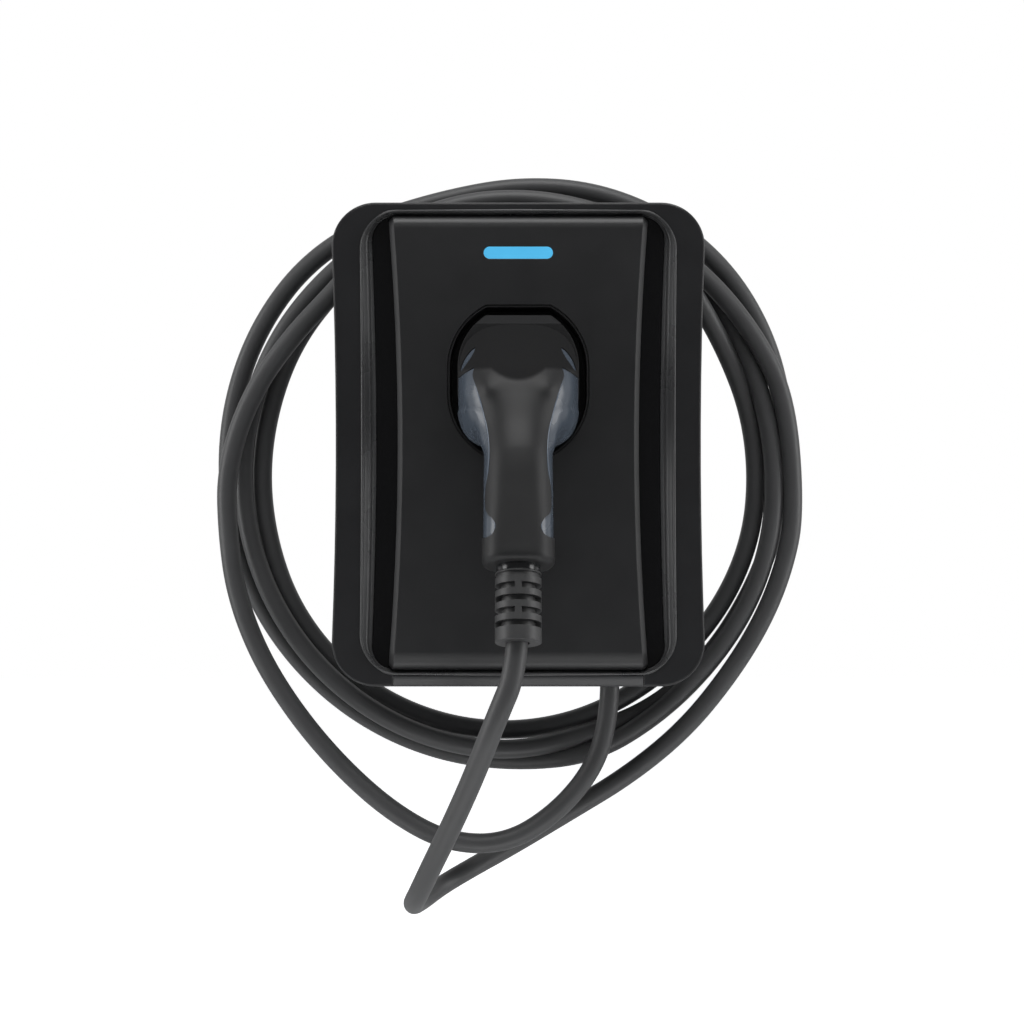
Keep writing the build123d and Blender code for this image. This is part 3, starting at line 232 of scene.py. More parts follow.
def feed(tree, socket, value):
    """Links another node's output to a socket, or sets the socket to a plain value."""
    if isinstance(value, bpy.types.NodeSocket):
        tree.links.new(value, socket)
    else:
        socket.default_value = value


def maths(tree, operation, first, second):
    step = tree.nodes.new("ShaderNodeMath")
    step.operation = operation
    feed(tree, step.inputs[0], first)
    feed(tree, step.inputs[1], second)
    return step.outputs[0]


def mapped(tree, value, low, high, to_low, to_high, soft=False):
    """A value carried from one range to another, evenly or with soft ends."""
    span = tree.nodes.new("ShaderNodeMapRange")
    if soft:
        span.interpolation_type = "SMOOTHSTEP"
    span.inputs["From Min"].default_value = low
    span.inputs["From Max"].default_value = high
    span.inputs["To Min"].default_value = to_low
    span.inputs["To Max"].default_value = to_high
    feed(tree, span.inputs["Value"], value)
    return span.outputs["Result"]


def mixed(tree, kind, blend, factor, first, second):
    """Two colours or numbers mixed, or multiplied, by a factor."""
    mix = tree.nodes.new("ShaderNodeMix")
    mix.data_type = kind
    mix.blend_type = blend
    at_first, at_second, at_result = MIX_SOCKETS[kind]
    feed(tree, mix.inputs[0], factor)
    feed(tree, mix.inputs[at_first], first)
    feed(tree, mix.inputs[at_second], second)
    return mix.outputs[at_result]


def object_place(tree):
    """The object's own coordinates, from one node for the whole material."""
    coords = tree.nodes.get("object_place")
    if coords is None:
        coords = tree.nodes.new("ShaderNodeTexCoord")
        coords.name = "object_place"
    return coords.outputs["Object"]


def object_axes(tree):
    split = tree.nodes.new("ShaderNodeSeparateXYZ")
    feed(tree, split.inputs[0], object_place(tree))
    return split.outputs


def noise(tree, scale, detail):
    cloud = tree.nodes.new("ShaderNodeTexNoise")
    cloud.inputs["Scale"].default_value = scale
    cloud.inputs["Detail"].default_value = detail
    feed(tree, cloud.inputs["Vector"], object_place(tree))
    return cloud.outputs["Fac"]


def moulded(name, colour, rough, grain=2600.0, grain_depth=0.00003, specular=0.4, coat=0.0, edge=0.0004,
            metallic=0.0, sheen=0.0):
    """Moulded plastic, rubber or plated metal: fine grain, slow drift of tint and gloss, softened edges."""
    mat, tree, shader = new_material(name)
    fine = noise(tree, grain, GRAIN_DETAIL)
    slow = noise(tree, DRIFT_SCALE, DRIFT_DETAIL)
    tint = mapped(tree, slow, 0, 1, 1 - TINT_DRIFT, 1 + TINT_DRIFT)
    feed(tree, shader.inputs["Base Color"], mixed(tree, "RGBA", "MULTIPLY", 1.0, (*colour, 1), tint))
    feed(tree, shader.inputs["Roughness"], mapped(tree, slow, 0, 1, rough - ROUGH_DRIFT, rough + ROUGH_DRIFT))
    bump = tree.nodes.new("ShaderNodeBump")
    bump.inputs["Strength"].default_value = GRAIN_STRENGTH
    bump.inputs["Distance"].default_value = grain_depth
    feed(tree, bump.inputs["Height"], fine)
    if edge:
        bevel = tree.nodes.new("ShaderNodeBevel")
        bevel.samples = EDGE_SAMPLES
        bevel.inputs["Radius"].default_value = edge
        feed(tree, bump.inputs["Normal"], bevel.outputs["Normal"])
    feed(tree, shader.inputs["Normal"], bump.outputs["Normal"])
    shader.inputs["Specular IOR Level"].default_value = specular
    shader.inputs["Metallic"].default_value = metallic
    shader.inputs["Coat Weight"].default_value = coat
    shader.inputs["Coat Roughness"].default_value = COAT_ROUGH
    shader.inputs["Sheen Weight"].default_value = sheen
    return mat


def shade_and_dull_hood(mat):
    """Makes the over-mould duller on the hood above the handle, and darker there with painted shade."""
    tree = mat.node_tree
    shader = tree.nodes["Principled BSDF"]
    axes = object_axes(tree)
    squared = maths(tree, "MULTIPLY", axes["X"], axes["X"])
    rise = maths(tree, "MINIMUM", maths(tree, "MULTIPLY", squared, HOOD_CURVE), HOOD_RISE)
    height = maths(tree, "SUBTRACT", axes["Z"], rise)
    shade_and_dull_mask = mapped(tree, height, HOOD_FROM, HOOD_FULL, 0, 1, soft=True)
    for name, kind, shade_and_dull in (("Base Color", "RGBA", HOOD_PAINTED_SHADE), ("Roughness", "FLOAT", HOOD_ROUGH)):
        before = shader.inputs[name].links[0].from_socket
        feed(tree, shader.inputs[name], mixed(tree, kind, "MIX", shade_and_dull_mask, before, shade_and_dull))


def rolled_ends(mat, ends):
    """Shades the surface as if it fell away softly to its ends, down to a little inside each."""
    tree = mat.node_tree
    height = object_axes(tree)["Z"]
    falls = []
    for end, run, drop in ends:
        stop = end + math.copysign(ROLL_MARGIN, run)
        falls.append(mapped(tree, height, end + run, stop, 0, -drop, soft=True))
    total = falls[0]
    for fall in falls[1:]:
        total = maths(tree, "ADD", total, fall)
    grain = next(node for node in tree.nodes if node.bl_idname == "ShaderNodeBump")
    roll = tree.nodes.new("ShaderNodeBump")
    roll.inputs["Strength"].default_value = 1.0
    roll.inputs["Distance"].default_value = 1.0
    feed(tree, roll.inputs["Height"], total)
    feed(tree, roll.inputs["Normal"], grain.inputs["Normal"].links[0].from_socket)
    feed(tree, grain.inputs["Normal"], roll.outputs["Normal"])


def light_guide():
    """Translucent blue bar, lit from behind, with a slight drift in its glow."""
    mat, tree, shader = new_material("light_guide")
    ramp = tree.nodes.new("ShaderNodeValToRGB")
    ramp.color_ramp.elements[0].color = GLOW_LOW
    ramp.color_ramp.elements[1].color = GLOW_HIGH
    feed(tree, ramp.inputs["Fac"], noise(tree, GLOW_SCALE, GLOW_DETAIL))
    feed(tree, shader.inputs["Emission Color"], ramp.outputs["Color"])
    shader.inputs["Base Color"].default_value = GLOW_BODY
    shader.inputs["Emission Strength"].default_value = GLOW_STRENGTH
    shader.inputs["Roughness"].default_value = GLOW_ROUGH
    return mat


# Finish of each of the record's material slots
FINISHES = {
    "frame_plastic": dict(colour=(0.0108, 0.0108, 0.0117), rough=0.35, edge=0.0018),
    "panel_plastic": dict(colour=(0.0130, 0.0130, 0.0137), rough=0.38, edge=0.0009),
    "insert_gloss": dict(colour=(0.004, 0.004, 0.0045), rough=0.12, grain=500, grain_depth=0.000004),
    "trim_plastic": dict(colour=(0.020, 0.020, 0.0215), rough=0.36, edge=0.0008),
    "holster_plastic": dict(colour=(0.006, 0.006, 0.0065), rough=0.5),
    "seal_rubber": dict(colour=(0.012, 0.012, 0.012), rough=0.7, sheen=0.1),
    "screw_steel": dict(colour=(0.55, 0.55, 0.56), rough=0.32, metallic=1.0, edge=0.0002),
    "circuit_board": dict(colour=(0.012, 0.10, 0.035), rough=0.35, coat=0.5),
    "chip_white": dict(colour=(0.75, 0.75, 0.66), rough=0.3),
    "relay_case": dict(colour=(0.02, 0.06, 0.25), rough=0.4),
    "sensor_case": dict(colour=(0.62, 0.62, 0.58), rough=0.5),
    "supply_case": dict(colour=(0.018, 0.018, 0.020), rough=0.45),
    "shield_can": dict(colour=(0.55, 0.56, 0.57), rough=0.3, metallic=1.0, edge=0.0002),
    "chip_black": dict(colour=(0.012, 0.012, 0.013), rough=0.5),
    "fuse_ceramic": dict(colour=(0.70, 0.69, 0.65), rough=0.25, coat=0.6),
    "capacitor_sleeve": dict(colour=(0.03, 0.03, 0.09), rough=0.3),
    "terminal_green": dict(colour=(0.02, 0.22, 0.06), rough=0.45),
    "core_sleeve": dict(colour=(0.22, 0.09, 0.03), rough=0.45),
    "gland_nylon": dict(colour=(0.015, 0.015, 0.016), rough=0.48),
    "gun_shell": dict(colour=(0.046, 0.057, 0.073), rough=0.26, specular=0.5),
    "gun_rubber": dict(colour=(0.0138, 0.0138, 0.0143), rough=0.46, specular=0.25),
    "gun_black": dict(colour=(0.006, 0.006, 0.0065), rough=0.7, specular=0.25),
    "contact_silver": dict(colour=(0.72, 0.71, 0.68), rough=0.2, metallic=1.0, edge=0.0),
    "ring_gloss": dict(colour=(0.015, 0.015, 0.016), rough=0.18),
    "boot_rubber": dict(colour=(0.030, 0.030, 0.0305), rough=0.46),
    "cable_jacket": dict(colour=(0.043, 0.043, 0.044), rough=0.47, grain=1400, grain_depth=0.00005, edge=0.0),
}
MATERIALS = {slot: moulded(slot, **finish) for slot, finish in FINISHES.items()}
MATERIALS["light_guide"] = light_guide()
# Painted shade on the over-mould's hood, which is also made rougher
shade_and_dull_hood(MATERIALS["gun_rubber"])
rolled_ends(MATERIALS["panel_plastic"], PANEL_ROLLS)
rolled_ends(MATERIALS["trim_plastic"], TRIM_ROLLS)

# Finishes of two pieces that differ from their slot's: both are painted lighter than it, the bead as a
# painted highlight and the lining as painted light on the well's slope
BEAD_HIGHLIGHT_FINISH = moulded("shell_edge_highlight", colour=(0.085, 0.105, 0.135), rough=0.25, edge=0.0)
LINING_PAINTED_LIGHT = moulded("well_lining_painted_light", colour=(0.046, 0.046, 0.047), rough=0.28, edge=0.0)


def dress(obj, mat):
    obj.data.materials.clear()
    obj.data.materials.append(mat)


for row in frame["record"]["subparts"]:
    dress(NODES[row["node"]], MATERIALS[row["material_slot"]])

dress(cable, MATERIALS["cable_jacket"])
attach(cable, "root")
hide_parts("cable_lead_in", "cable_coil", "cable_lead_out")


# Connector in millimetres: its shell and its rubber over-mould lie on one form, lofted from the collar
# to the handle's end. Depths count from the wall
COLLAR_FRONT = 110.0
POCKET_MIDDLE = 42.0
OVERMOULD = 0.7
# Head's sections: inner and outer end as depth and height, half width, squareness
HEAD = [((110, -5.2), (110, 76.3), 38.7, 2.9), ((115.5, -5.4), (117, 69.6), 38.6, 3.0),
        ((119, -5.8), (126, 61), 37.6, 2.9), ((122.5, -6.6), (135, 52.4), 35.6, 2.7),
        ((125.4, -7.8), (143.2, 44.4), 32.4, 2.45), ((127, -8.8), (147.6, 38.5), 30.2, 2.2),
        ((129.2, -10.8), (153, 28), 26.6, 2.05), ((131.4, -13.4), (160.4, 13), 23.4, 2.0)]
# Handle's sections: place along its axis from its end, how much slimmer than the widest, squareness
GRIP = [(-69, 0.2, 2.05), (-45, 0, 2.2), (-24, 0, 2.5), (-10, 0, 2.7)]
GRIP_END_DEPTH = 173.0
GRIP_END_HEIGHT = -77.7
GRIP_TILT = math.radians(17.0)
GRIP_HALF_WIDTH = 21.3
GRIP_HALF_THICKNESS = 19.3
GRIP_END_ROUND = 4.2
GRIP_END_SQUARE = 2.7
GRIP_END_STEPS = 6
# Points round a section, greatest distance of two sections, rows that the end is drawn back over,
# and the rings that close it, as shares of the last section
ACROSS = 144
ROW_STEP = 0.7
DRAWN_ROWS = 12
CLOSING_RINGS = (0.75, 0.5, 0.25, 0.02)

# Rubber's edge seen from the front, right half: x and height over the pocket's middle
RUBBER_FRONT = [(0, 58), (46, 58), (46, 10), (44, -1), (44, -4), (36, 1), (31, 3.6), (27.3, 5.2), (29.2, 0),
                (26.4, -9), (23.4, -18), (21.3, -26.5), (19.3, -34), (18.1, -42), (17.6, -52), (18.3, -62),
                (19.8, -70), (20.3, -78), (20.1, -85), (18.5, -88.2), (15.2, -90.5), (13.4, -95),
                (15.2, -99.5), (18.5, -101.6), (23, -102.8), (44, -104), (44, -152), (0, -152)]
# Rubber's edge seen from the side: depth from the collar's front and height over the pocket's middle
RUBBER_SIDE = [(-1, 58), (-1, 16), (17, -10), (31, -36), (42, -62), (53, -100), (10, -106), (10, -152),
               (120, -152), (120, 58)]
# Narrow window in the hood, where the shell shows through
WINDOW = [(27.2, 19.4), (30.5, 17.2), (34.5, 12), (37.6, 5), (36.8, 2.5), (34.2, 6), (30.6, 11), (28.0, 16)]
CORNER_ROUNDS = 2
CORNER_CUT = 0.2

# Shell's cheek: it steps outward below a curved crease
CREASE_HEIGHT = 20.5
CREASE_SIDE = 30.5
CREASE_CURVE = 0.055
CREASE_CURVE_OUTSIDE = 0.25
CREASE_SOFT = 1.2
CHEEK_STEP = 1.1
CHEEK_LEAN = 0.35
CHEEK_FROM_DEPTH = 112.0
# The step fades out over these distances at the collar, the rubber's edge and the handle, and ends
# clear of the rubber by a share of that fade
FADE_COLLAR = 6.0
FADE_RUBBER = 3.0
FADE_HANDLE = 8.0
KEPT_CLEAR = 0.15

# Bead along the rubber's edge: where it runs, as lowest and highest over the pocket's middle and
# greatest distance from the connector's middle plane
BEAD_PLACES = [(-70.0, 5.5, 28.0), (-99.0, -91.0, 19.0)]
BEAD_FROM_DEPTH = 121.0
BEAD_RADIUS = 0.45
BEAD_ROUNDNESS = 3
BEAD_TIP = 0.1
# Fewest points of a stretch, points that its ends taper over, and how often its line is smoothed
BEAD_FEWEST = 8
BEAD_TAPER = 12
BEAD_SMOOTHINGS = 4

# Rubber's two brows below the hood, whose spread is a squared length, and its rim: how deep it reaches
# into the shell, and the angle from which its edge looks sharp
BROW_SIDE = 20.0
BROW_HEIGHT = 32.5
BROW_RISE = 2.2
BROW_SPREAD = 55.0
BROW_FROM_DEPTH = 118.0
RIM_DEEP = 0.8
RIM_ANGLE = math.radians(50)


def gun_sections():
    """Sections from the collar to the handle's end: inner and outer end, half width and squareness."""
    rows = [(*inner, *outer, half, square) for inner, outer, half, square in HEAD]
    grips = list(GRIP)
    for k in range(GRIP_END_STEPS + 1):
        turn = k / GRIP_END_STEPS * math.pi / 2
        along = -GRIP_END_ROUND * (1 - math.sin(turn))
        slimmer = GRIP_END_ROUND * (1 - math.cos(turn))
        grips.append((along, slimmer, GRIP_END_SQUARE))
    for along, slimmer, square in grips:
        depth = GRIP_END_DEPTH + along * math.sin(GRIP_TILT)
        height = GRIP_END_HEIGHT - along * math.cos(GRIP_TILT)
        out = (GRIP_HALF_THICKNESS - slimmer) * math.cos(GRIP_TILT)
        up = (GRIP_HALF_THICKNESS - slimmer) * math.sin(GRIP_TILT)
        rows.append((depth - out, height - up, depth + out, height + up, GRIP_HALF_WIDTH - slimmer, square))
    return np.array(rows)


def fine_sections():
    """Closely spaced sections on a smooth curve through the given ones."""
    rows = gun_sections()
    middles = (rows[:, 0:2] + rows[:, 2:4]) / 2
    gaps = np.linalg.norm(np.diff(middles, axis=0), axis=1) + 1e-3
    at = np.concatenate([[0], np.cumsum(gaps)])
    slopes, steps = smooth_slopes(rows, at)
    slopes[0] = steps[0]
    slopes[-1] = steps[-1]
    fine = []
    for i, gap in enumerate(np.diff(at)):
        count = max(1, int(round(gap / ROW_STEP)))
        fine += [between(rows, at, slopes, i, k / count) for k in range(count)]
    return fine + [rows[-1]]


def gun_points(grow=0.0):
    """Grid of points on the connector's form, as x, depth, height; the last rows close the handle's end."""
    angles = np.arange(ACROSS) * 2 * math.pi / ACROSS
    c, s = np.cos(angles), np.sin(angles)
    grid = []
    for low_depth, low_height, high_depth, high_height, half, square in fine_sections():
        length = math.hypot(high_depth - low_depth, high_height - low_height)
        out = (high_depth - low_depth) / length
        up = (high_height - low_height) / length
        across = (half + grow) * np.abs(c) ** (2 / square) * np.sign(c)
        along = (length / 2 + grow) * np.abs(s) ** (2 / square) * np.sign(s)
        depth = (low_depth + high_depth) / 2 + along * out
        height = (low_height + high_height) / 2 + along * up
        grid.append(np.column_stack([across, depth, height]))
    for k in range(DRAWN_ROWS):
        back = (grow - OVERMOULD) * (DRAWN_ROWS - k) / DRAWN_ROWS
        grid[-1 - k][:, 1] += back * math.sin(GRIP_TILT)
        grid[-1 - k][:, 2] -= back * math.cos(GRIP_TILT)
    last = grid[-1]
    centre = last.mean(axis=0)
    grid += [centre + (last - centre) * share for share in CLOSING_RINGS]
    return np.array(grid)


def soft_corner(points):
    """A closed outline with its corners cut, so that it runs smoothly."""
    line = np.array(points, float)
    for _ in range(CORNER_ROUNDS):
        after = np.roll(line, -1, axis=0)
        near = (1 - CORNER_CUT) * line + CORNER_CUT * after
        far = CORNER_CUT * line + (1 - CORNER_CUT) * after
        line = np.stack([near, far], axis=1).reshape(-1, 2)
    return line


FRONT_EDGE = soft_corner(RUBBER_FRONT + [(-x, z) for x, z in reversed(RUBBER_FRONT) if x > 0])
SIDE_EDGE = soft_corner(RUBBER_SIDE)
WINDOW_EDGE = soft_corner(WINDOW)


def inside_by(points, outline):
    """How far each point lies inside a closed outline; negative outside."""
    nearest = np.full(len(points), np.inf)
    within = np.zeros(len(points), bool)
    for (ax, ay), (bx, by) in zip(outline, np.roll(outline, -1, axis=0)):
        ex, ey = bx - ax, by - ay
        px, py = points[:, 0] - ax, points[:, 1] - ay
        t = np.clip((px * ex + py * ey) / (ex * ex + ey * ey + 1e-12), 0, 1)
        nearest = np.minimum(nearest, np.hypot(px - t * ex, py - t * ey))
        crosses = (ay > points[:, 1]) != (by > points[:, 1])
        with np.errstate(divide="ignore", invalid="ignore"):
            at = ax + py / ey * ex
        within ^= crosses & (points[:, 0] < at)
    return np.where(within, nearest, -nearest)


def rubber_field(points):
    """How far each point lies inside the rubber's edge, in millimetres; negative outside."""
    x = points[:, 0]
    depth = points[:, 1] - COLLAR_FRONT
    height = points[:, 2] - POCKET_MIDDLE
    in_front = inside_by(np.column_stack([x, height]), FRONT_EDGE)
    in_window = inside_by(np.column_stack([np.abs(x), height]), WINDOW_EDGE)
    in_side = inside_by(np.column_stack([depth, height]), SIDE_EDGE)
    return np.minimum(np.minimum(in_front, -in_window), in_side)


def ring_faces(rings, around):
    """Faces of a grid of rings, each closed and joined to the next."""
    faces = []
    for i in range(rings - 1):
        for j in range(around):
            k = (j + 1) % around
            faces.append((i * around + j, i * around + k, (i + 1) * around + k, (i + 1) * around + j))
    return faces


def new_piece(name, points, faces, slot, *nodes, finish=None):
    """A smooth-shaded mesh piece that rides on the part and stands for the given nodes."""
    data = bpy.data.meshes.new(name)
    data.from_pydata(to_metres(points), [], faces)
    data.validate()
    data.update()
    data.polygons.foreach_set("use_smooth", [True] * len(data.polygons))
    obj = bpy.data.objects.new(name, data)
    scene.collection.objects.link(obj)
    dress(obj, finish or MATERIALS[slot])
    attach(obj, "root")
    if nodes:
        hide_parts(*nodes)
    return obj


def cheek_step(points):
    """Outward step of the shell's cheek, which fades out at the collar, the rubber and the handle."""
    side = np.abs(points[:, 0]) - CREASE_SIDE
    height = points[:, 2]
    crease = CREASE_HEIGHT - CREASE_CURVE * side**2 * np.where(side < 0, 1.0, CREASE_CURVE_OUTSIDE)
    below = np.clip((crease - height) / CREASE_SOFT + 0.5, 0, 1)
    from_collar = np.clip((points[:, 1] - CHEEK_FROM_DEPTH) / FADE_COLLAR, 0, 1)
    from_rubber = np.clip(-rubber_field(points) / FADE_RUBBER - KEPT_CLEAR, 0, 1)
    from_handle = np.clip(height / FADE_HANDLE + 1, 0, 1)
    return CHEEK_STEP * below**2 * (3 - 2 * below) * from_collar * from_rubber * from_handle


def make_gun_shell():
    """The connector's shell: the whole form, with a step in each cheek."""
    grid = gun_points()
    points = grid.reshape(-1, 3)
    flat = np.zeros(len(points))
    outward = np.column_stack([np.sign(points[:, 0]), flat + CHEEK_LEAN, flat])
    outward /= np.linalg.norm(outward, axis=1)[:, None]
    points = points + outward * cheek_step(points)[:, None]
    faces = [face[::-1] for face in ring_faces(len(grid), ACROSS)]
    new_piece("connector_shell", points, faces, "gun_shell", "gun_body")


def edge_chains(pairs):
    """Chains of points, joined from pairs of neighbours."""
    beside = {}
    for a, b in pairs:
        beside.setdefault(a, []).append(b)
        beside.setdefault(b, []).append(a)
    left = set(beside)
    chains = []
    while left:
        ends = [i for i in left if len(beside[i]) == 1]
        ahead = ends or [min(left)]
        chain = []
        while ahead:
            here = ahead[0]
            chain.append(here)
            left.discard(here)
            ahead = [i for i in beside[here] if i in left]
        chains.append(chain)
    return chains


def has_bead(point):
    x, depth, z = point
    height = z - POCKET_MIDDLE
    return depth > BEAD_FROM_DEPTH and any(low < height < high and abs(x) < reach
                                           for low, high, reach in BEAD_PLACES)


def bead_runs(points, pairs):
    """The stretches of the rubber's edge that carry the bead."""
    runs = []
    for chain in edge_chains(pairs):
        run = []
        for i in chain + chain[:1]:
            if has_bead(points[i]):
                run.append(points[i])
            else:
                runs.append(run)
                run = []
        runs.append(run)
    return [run for run in runs if len(run) > BEAD_FEWEST]


def make_bead(points, pairs):
    """Slim raised bead of the shell along the rubber's edge, thinner towards its ends, painted lighter than
    the shell as a painted highlight.
    """
    curve = bpy.data.curves.new("shell_edge_highlight", "CURVE")
    curve.dimensions = "3D"
    for run in bead_runs(points, pairs):
        line = np.array(run)
        for _ in range(BEAD_SMOOTHINGS):
            line[1:-1] = (line[:-2] + 2 * line[1:-1] + line[2:]) / 4
        line = line[::2]
        spline = curve.splines.new("POLY")
        spline.points.add(len(line) - 1)
        for k, (point, place) in enumerate(zip(spline.points, to_metres(line))):
            from_end = min(k, len(line) - 1 - k)
            point.co = (*place, 1)
            point.radius = min(1.0, BEAD_TIP + (1 - BEAD_TIP) * from_end / BEAD_TAPER)
    curve.bevel_depth = BEAD_RADIUS / 1000
    curve.bevel_resolution = BEAD_ROUNDNESS
    bead = bpy.data.objects.new("shell_edge_highlight", curve)
    scene.collection.objects.link(bead)
    dress(bead, BEAD_HIGHLIGHT_FINISH)
    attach(bead, "root")


def cut_along_edge(points, under, field, quads):
    """Keeps what lies where the field is positive, cut exactly along the edge. Gives the points, the
    points under them, the faces, and the pairs of neighbours on the edge."""
    points = list(points)
    under = list(under)
    faces = []
    edge_pairs = []
    cuts = {}

    def cut(a, b):
        key = (min(a, b), max(a, b))
        if key not in cuts:
            t = field[a] / (field[a] - field[b])
            cuts[key] = len(points)
            points.append(points[a] + (points[b] - points[a]) * t)
            under.append(under[a] + (under[b] - under[a]) * t)
        return cuts[key]

    for p, q, r, s in quads:
        for corners in ((p, q, r), (p, r, s)):
            ring = []
            on_edge = []
            for here, after in zip(corners, corners[1:] + corners[:1]):
                if field[here] > 0:
                    ring.append(here)
                if (field[here] > 0) != (field[after] > 0):
                    on_edge.append(cut(here, after))
                    ring.append(on_edge[-1])
            if ring:
                faces.append(tuple(ring[::-1]))
            if on_edge:
                edge_pairs.append(on_edge if field[corners[0]] > 0 else on_edge[::-1])
    return points, under, faces, edge_pairs


def make_gun_rubber():
    """The over-mould: a slightly larger form within the rubber's edge, with a rim that reaches inward."""
    grid = gun_points(OVERMOULD)
    brow = (np.abs(grid[..., 0]) - BROW_SIDE) ** 2 + (grid[..., 2] - BROW_HEIGHT) ** 2
    grid[..., 1] += BROW_RISE * np.exp(-brow / BROW_SPREAD) * (grid[..., 1] > BROW_FROM_DEPTH)
    over = grid.reshape(-1, 3)
    under = gun_points(-RIM_DEEP).reshape(-1, 3)
    quads = ring_faces(len(grid), ACROSS)
    points, under, faces, edge_pairs = cut_along_edge(over, under, rubber_field(over), quads)
    edge = sorted({i for pair in edge_pairs for i in pair})
    order = {i: k for k, i in enumerate(edge)}
    make_bead([points[i] for i in edge], [(order[a], order[b]) for a, b in edge_pairs])
    rim = len(points)
    points += [under[i] for i in edge]
    faces += [(a, b, rim + order[b], rim + order[a]) for a, b in edge_pairs]
    kept = sorted({i for face in faces for i in face})
    number = {i: k for k, i in enumerate(kept)}
    faces = [tuple(number[i] for i in face) for face in faces]
    piece = new_piece("connector_rubber", [points[i] for i in kept], faces, "gun_rubber", "gun_grip")
    split = piece.modifiers.new("sharp_rim", "EDGE_SPLIT")
    split.split_angle = RIM_ANGLE


make_gun_shell()
make_gun_rubber()

# Lining of the bezel's well, in millimetres, painted lighter than the bezel as painted light on the slope.
# Bead on its lip: height over the bezel's face, way outward
LIP_BEAD = [(-0.3, 1.35), (0.35, 1.2), (0.75, 0.85), (0.9, 0.35), (0.75, -0.1), (0.3, -0.4), (-0.5, -0.6)]
# Ribs down the slope: share of the way down, half width as a share, and how far they stand out
LINING_RIBS = [(0.5, 0.05, 0.4), (0.88, 0.06, 0.7), (0.68, 0.06, -0.25)]
# How far the rest stands off the slope, the share of the slope where it starts, and its rows
LINING_LIFT = 0.85
LINING_TOP = 0.06
LINING_ROWS = 31
# The slope's tilt, as inward and forward shares of the lift; where the slope is narrow, less goes inward
LIFT_INWARD = 0.6
LIFT_FORWARD = 0.8
LEAST_INWARD = 0.62
SIDE_STEPS = 24
CORNER_STEPS = 16


def waisted_line(width, low, high, waist, corner):
    """Points round an upright outline with drawn-in sides and rounded corners, as x and height."""
    middle, half = (low + high) / 2, (high - low) / 2

    def side(z):
        return width / 2 - waist * (1 - ((z - middle) / half) ** 2)

    quarter = []
    for k in range(SIDE_STEPS + 1):
        z = middle + (half - corner) * k / SIDE_STEPS
        quarter.append((side(z), z))
    top = side(high - corner) - corner
    for k in range(1, CORNER_STEPS + 1):
        turn = math.pi / 2 * k / CORNER_STEPS
        quarter.append((top + corner * math.cos(turn), high - corner + corner * math.sin(turn)))
    quarter.append((top / 2, high))
    quarter.append((0, high))
    flipped = [(x, 2 * middle - z) for x, z in quarter]
    right = flipped[::-1][:-1] + quarter
    return np.array(right + [(-x, z) for x, z in reversed(right[1:-1])])


def make_well_lining():
    """Narrow ribs run round the well: a proud one on the lip, a fine one half way, and one at the foot. The
    lining is painted lighter than the bezel, as painted light.
    """
    lip = waisted_line(LIP_WIDTH, LIP_LOW, LIP_HIGH, LIP_WAIST, LIP_CORNER)
    foot = waisted_line(LIP_WIDTH - 2 * SLOPE_RUN, LIP_LOW + SLOPE_RUN_END, LIP_HIGH - SLOPE_RUN_END,
                        2 * LIP_WAIST, WELL_CORNER)
    run = np.linalg.norm(lip - foot, axis=1)[:, None]
    outward = (lip - foot) / run
    inward = -outward * LIFT_INWARD * np.clip(run / SLOPE_RUN, LEAST_INWARD, 1.0)
    rings = [(lip + outward * way, BEZEL_FACE + height) for height, way in LIP_BEAD]
    for k in range(1, LINING_ROWS):
        t = LINING_TOP + (1 - LINING_TOP) * k / LINING_ROWS
        lift = LINING_LIFT + sum(rise * math.exp(-((t - at) / wide) ** 2) for at, wide, rise in LINING_RIBS)
        depth = BEZEL_FACE - WELL_DEEP * t + lift * LIFT_FORWARD
        rings.append((lip + (foot - lip) * t + inward * lift, depth))
    points = [(x, depth, z) for line, depth in rings for x, z in line]
    faces = ring_faces(len(rings), len(lip))
    new_piece("well_lining_painted_light", points, faces, "frame_plastic", finish=LINING_PAINTED_LIGHT)


make_well_lining()

# Soft lamps in metres: place, point that it faces, width, height, and power in watts
LAMPS = {
    "top_softbox": ((0, -0.75, 1.5), (0, -0.05, 0), 1.6, 1.0, 25),
    "left_softbox": ((-1.5, -0.45, 0.2), (0, -0.05, 0), 0.6, 1.6, 15),
    "right_softbox": ((1.5, -0.45, 0.2), (0, -0.05, 0), 0.6, 1.6, 15),
    "low_softbox": ((0, -0.5, -0.66), (0, -0.09, -0.15), 1.0, 0.16, 1.5),
}

# Room: colour and strength of its dim light. Backdrop in reflections: grey, and its strength in front of
# the object and behind it, with the view's depth where each starts
ROOM_COLOUR = (0.9, 0.95, 1.0, 1)
ROOM_STRENGTH = 0.22
BACKDROP_COLOUR = (0.8, 0.8, 0.8, 1)
BACKDROP_FRONT = (-0.2, 0.12)
BACKDROP_BEHIND = (0.5, 1.0)

# Floor in metres, and its glow for the camera alone
FLOOR_HEIGHT = -0.75
FLOOR_SIDE = 4.0
FLOOR_NEAR = -2.5
FLOOR_FAR = 5.0
FLOOR_COLOUR = (0.88, 0.88, 0.88, 1)
FLOOR_ROUGH = 0.9
FLOOR_GLOW = 0.8
WHITE = (1, 1, 1, 1)


def make_lamps():
    for name, (place, aim, width, height, power) in LAMPS.items():
        data = bpy.data.lights.new(name, "AREA")
        data.shape = "RECTANGLE"
        data.size = width
        data.size_y = height
        data.energy = power
        lamp = bpy.data.objects.new(name, data)
        lamp.location = place
        lamp.rotation_euler = (Vector(aim) - Vector(place)).to_track_quat("-Z", "Y").to_euler()
        scene.collection.objects.link(lamp)


def background(tree, colour, strength):
    glow = tree.nodes.new("ShaderNodeBackground")
    feed(tree, glow.inputs["Color"], colour)
    feed(tree, glow.inputs["Strength"], strength)
    return glow.outputs[0]


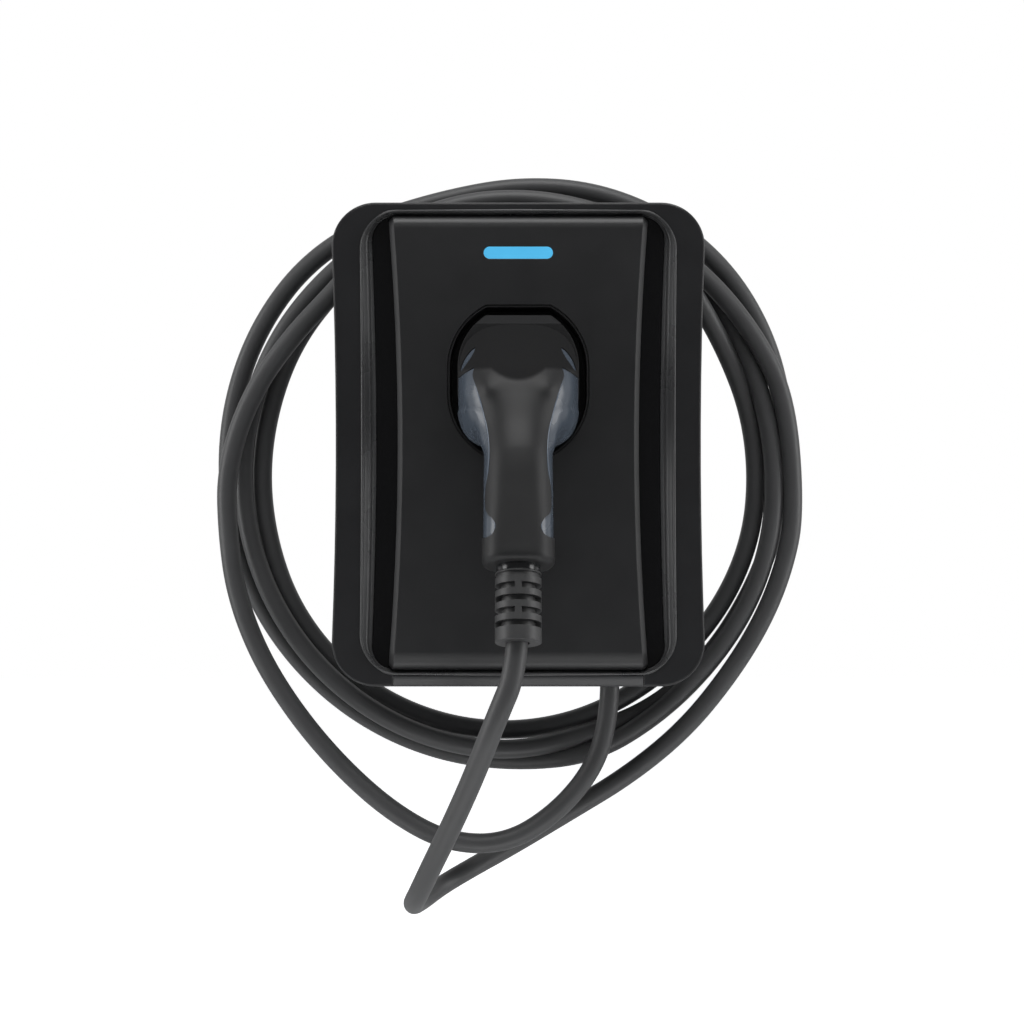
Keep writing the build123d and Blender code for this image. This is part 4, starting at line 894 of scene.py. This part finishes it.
def either_shader(tree, factor, first, second):
    mix = tree.nodes.new("ShaderNodeMixShader")
    for socket, value in zip(mix.inputs, (factor, first, second)):
        feed(tree, socket, value)
    return mix.outputs[0]


def make_world():
    """White for the camera; reflections see a bright backdrop behind the object and a dim room in front."""
    world = bpy.data.worlds.new("studio")
    world.use_nodes = True
    scene.world = world
    tree = world.node_tree
    tree.nodes.clear()
    out = tree.nodes.new("ShaderNodeOutputWorld")
    ray = tree.nodes.new("ShaderNodeLightPath").outputs
    coords = tree.nodes.new("ShaderNodeTexCoord")
    split = tree.nodes.new("ShaderNodeSeparateXYZ")
    feed(tree, split.inputs[0], coords.outputs["Generated"])
    fade = mapped(tree, split.outputs["Y"], BACKDROP_FRONT[0], BACKDROP_BEHIND[0],
                  BACKDROP_FRONT[1], BACKDROP_BEHIND[1], soft=True)
    room = background(tree, ROOM_COLOUR, ROOM_STRENGTH)
    mirrored = background(tree, BACKDROP_COLOUR, fade)
    white = background(tree, WHITE, 1.0)
    unseen = either_shader(tree, ray["Is Glossy Ray"], room, mirrored)
    seen = maths(tree, "MAXIMUM", ray["Is Camera Ray"], ray["Is Transmission Ray"])
    feed(tree, out.inputs["Surface"], either_shader(tree, seen, unseen, white))


def make_floor():
    """Pale floor well below the hanging object."""
    near = [(-FLOOR_SIDE, FLOOR_NEAR), (FLOOR_SIDE, FLOOR_NEAR)]
    far = [(FLOOR_SIDE, FLOOR_FAR), (-FLOOR_SIDE, FLOOR_FAR)]
    data = bpy.data.meshes.new("floor")
    data.from_pydata([(x, y, FLOOR_HEIGHT) for x, y in near + far], [], [(0, 1, 2, 3)])
    floor = bpy.data.objects.new("floor", data)
    scene.collection.objects.link(floor)
    mat, tree, shader = new_material("floor_paint")
    shader.inputs["Base Color"].default_value = FLOOR_COLOUR
    shader.inputs["Roughness"].default_value = FLOOR_ROUGH
    shader.inputs["Emission Color"].default_value = WHITE
    ray = tree.nodes.new("ShaderNodeLightPath").outputs
    feed(tree, shader.inputs["Emission Strength"], maths(tree, "MULTIPLY", ray["Is Camera Ray"], FLOOR_GLOW))
    dress(floor, mat)


make_lamps()
make_world()
make_floor()
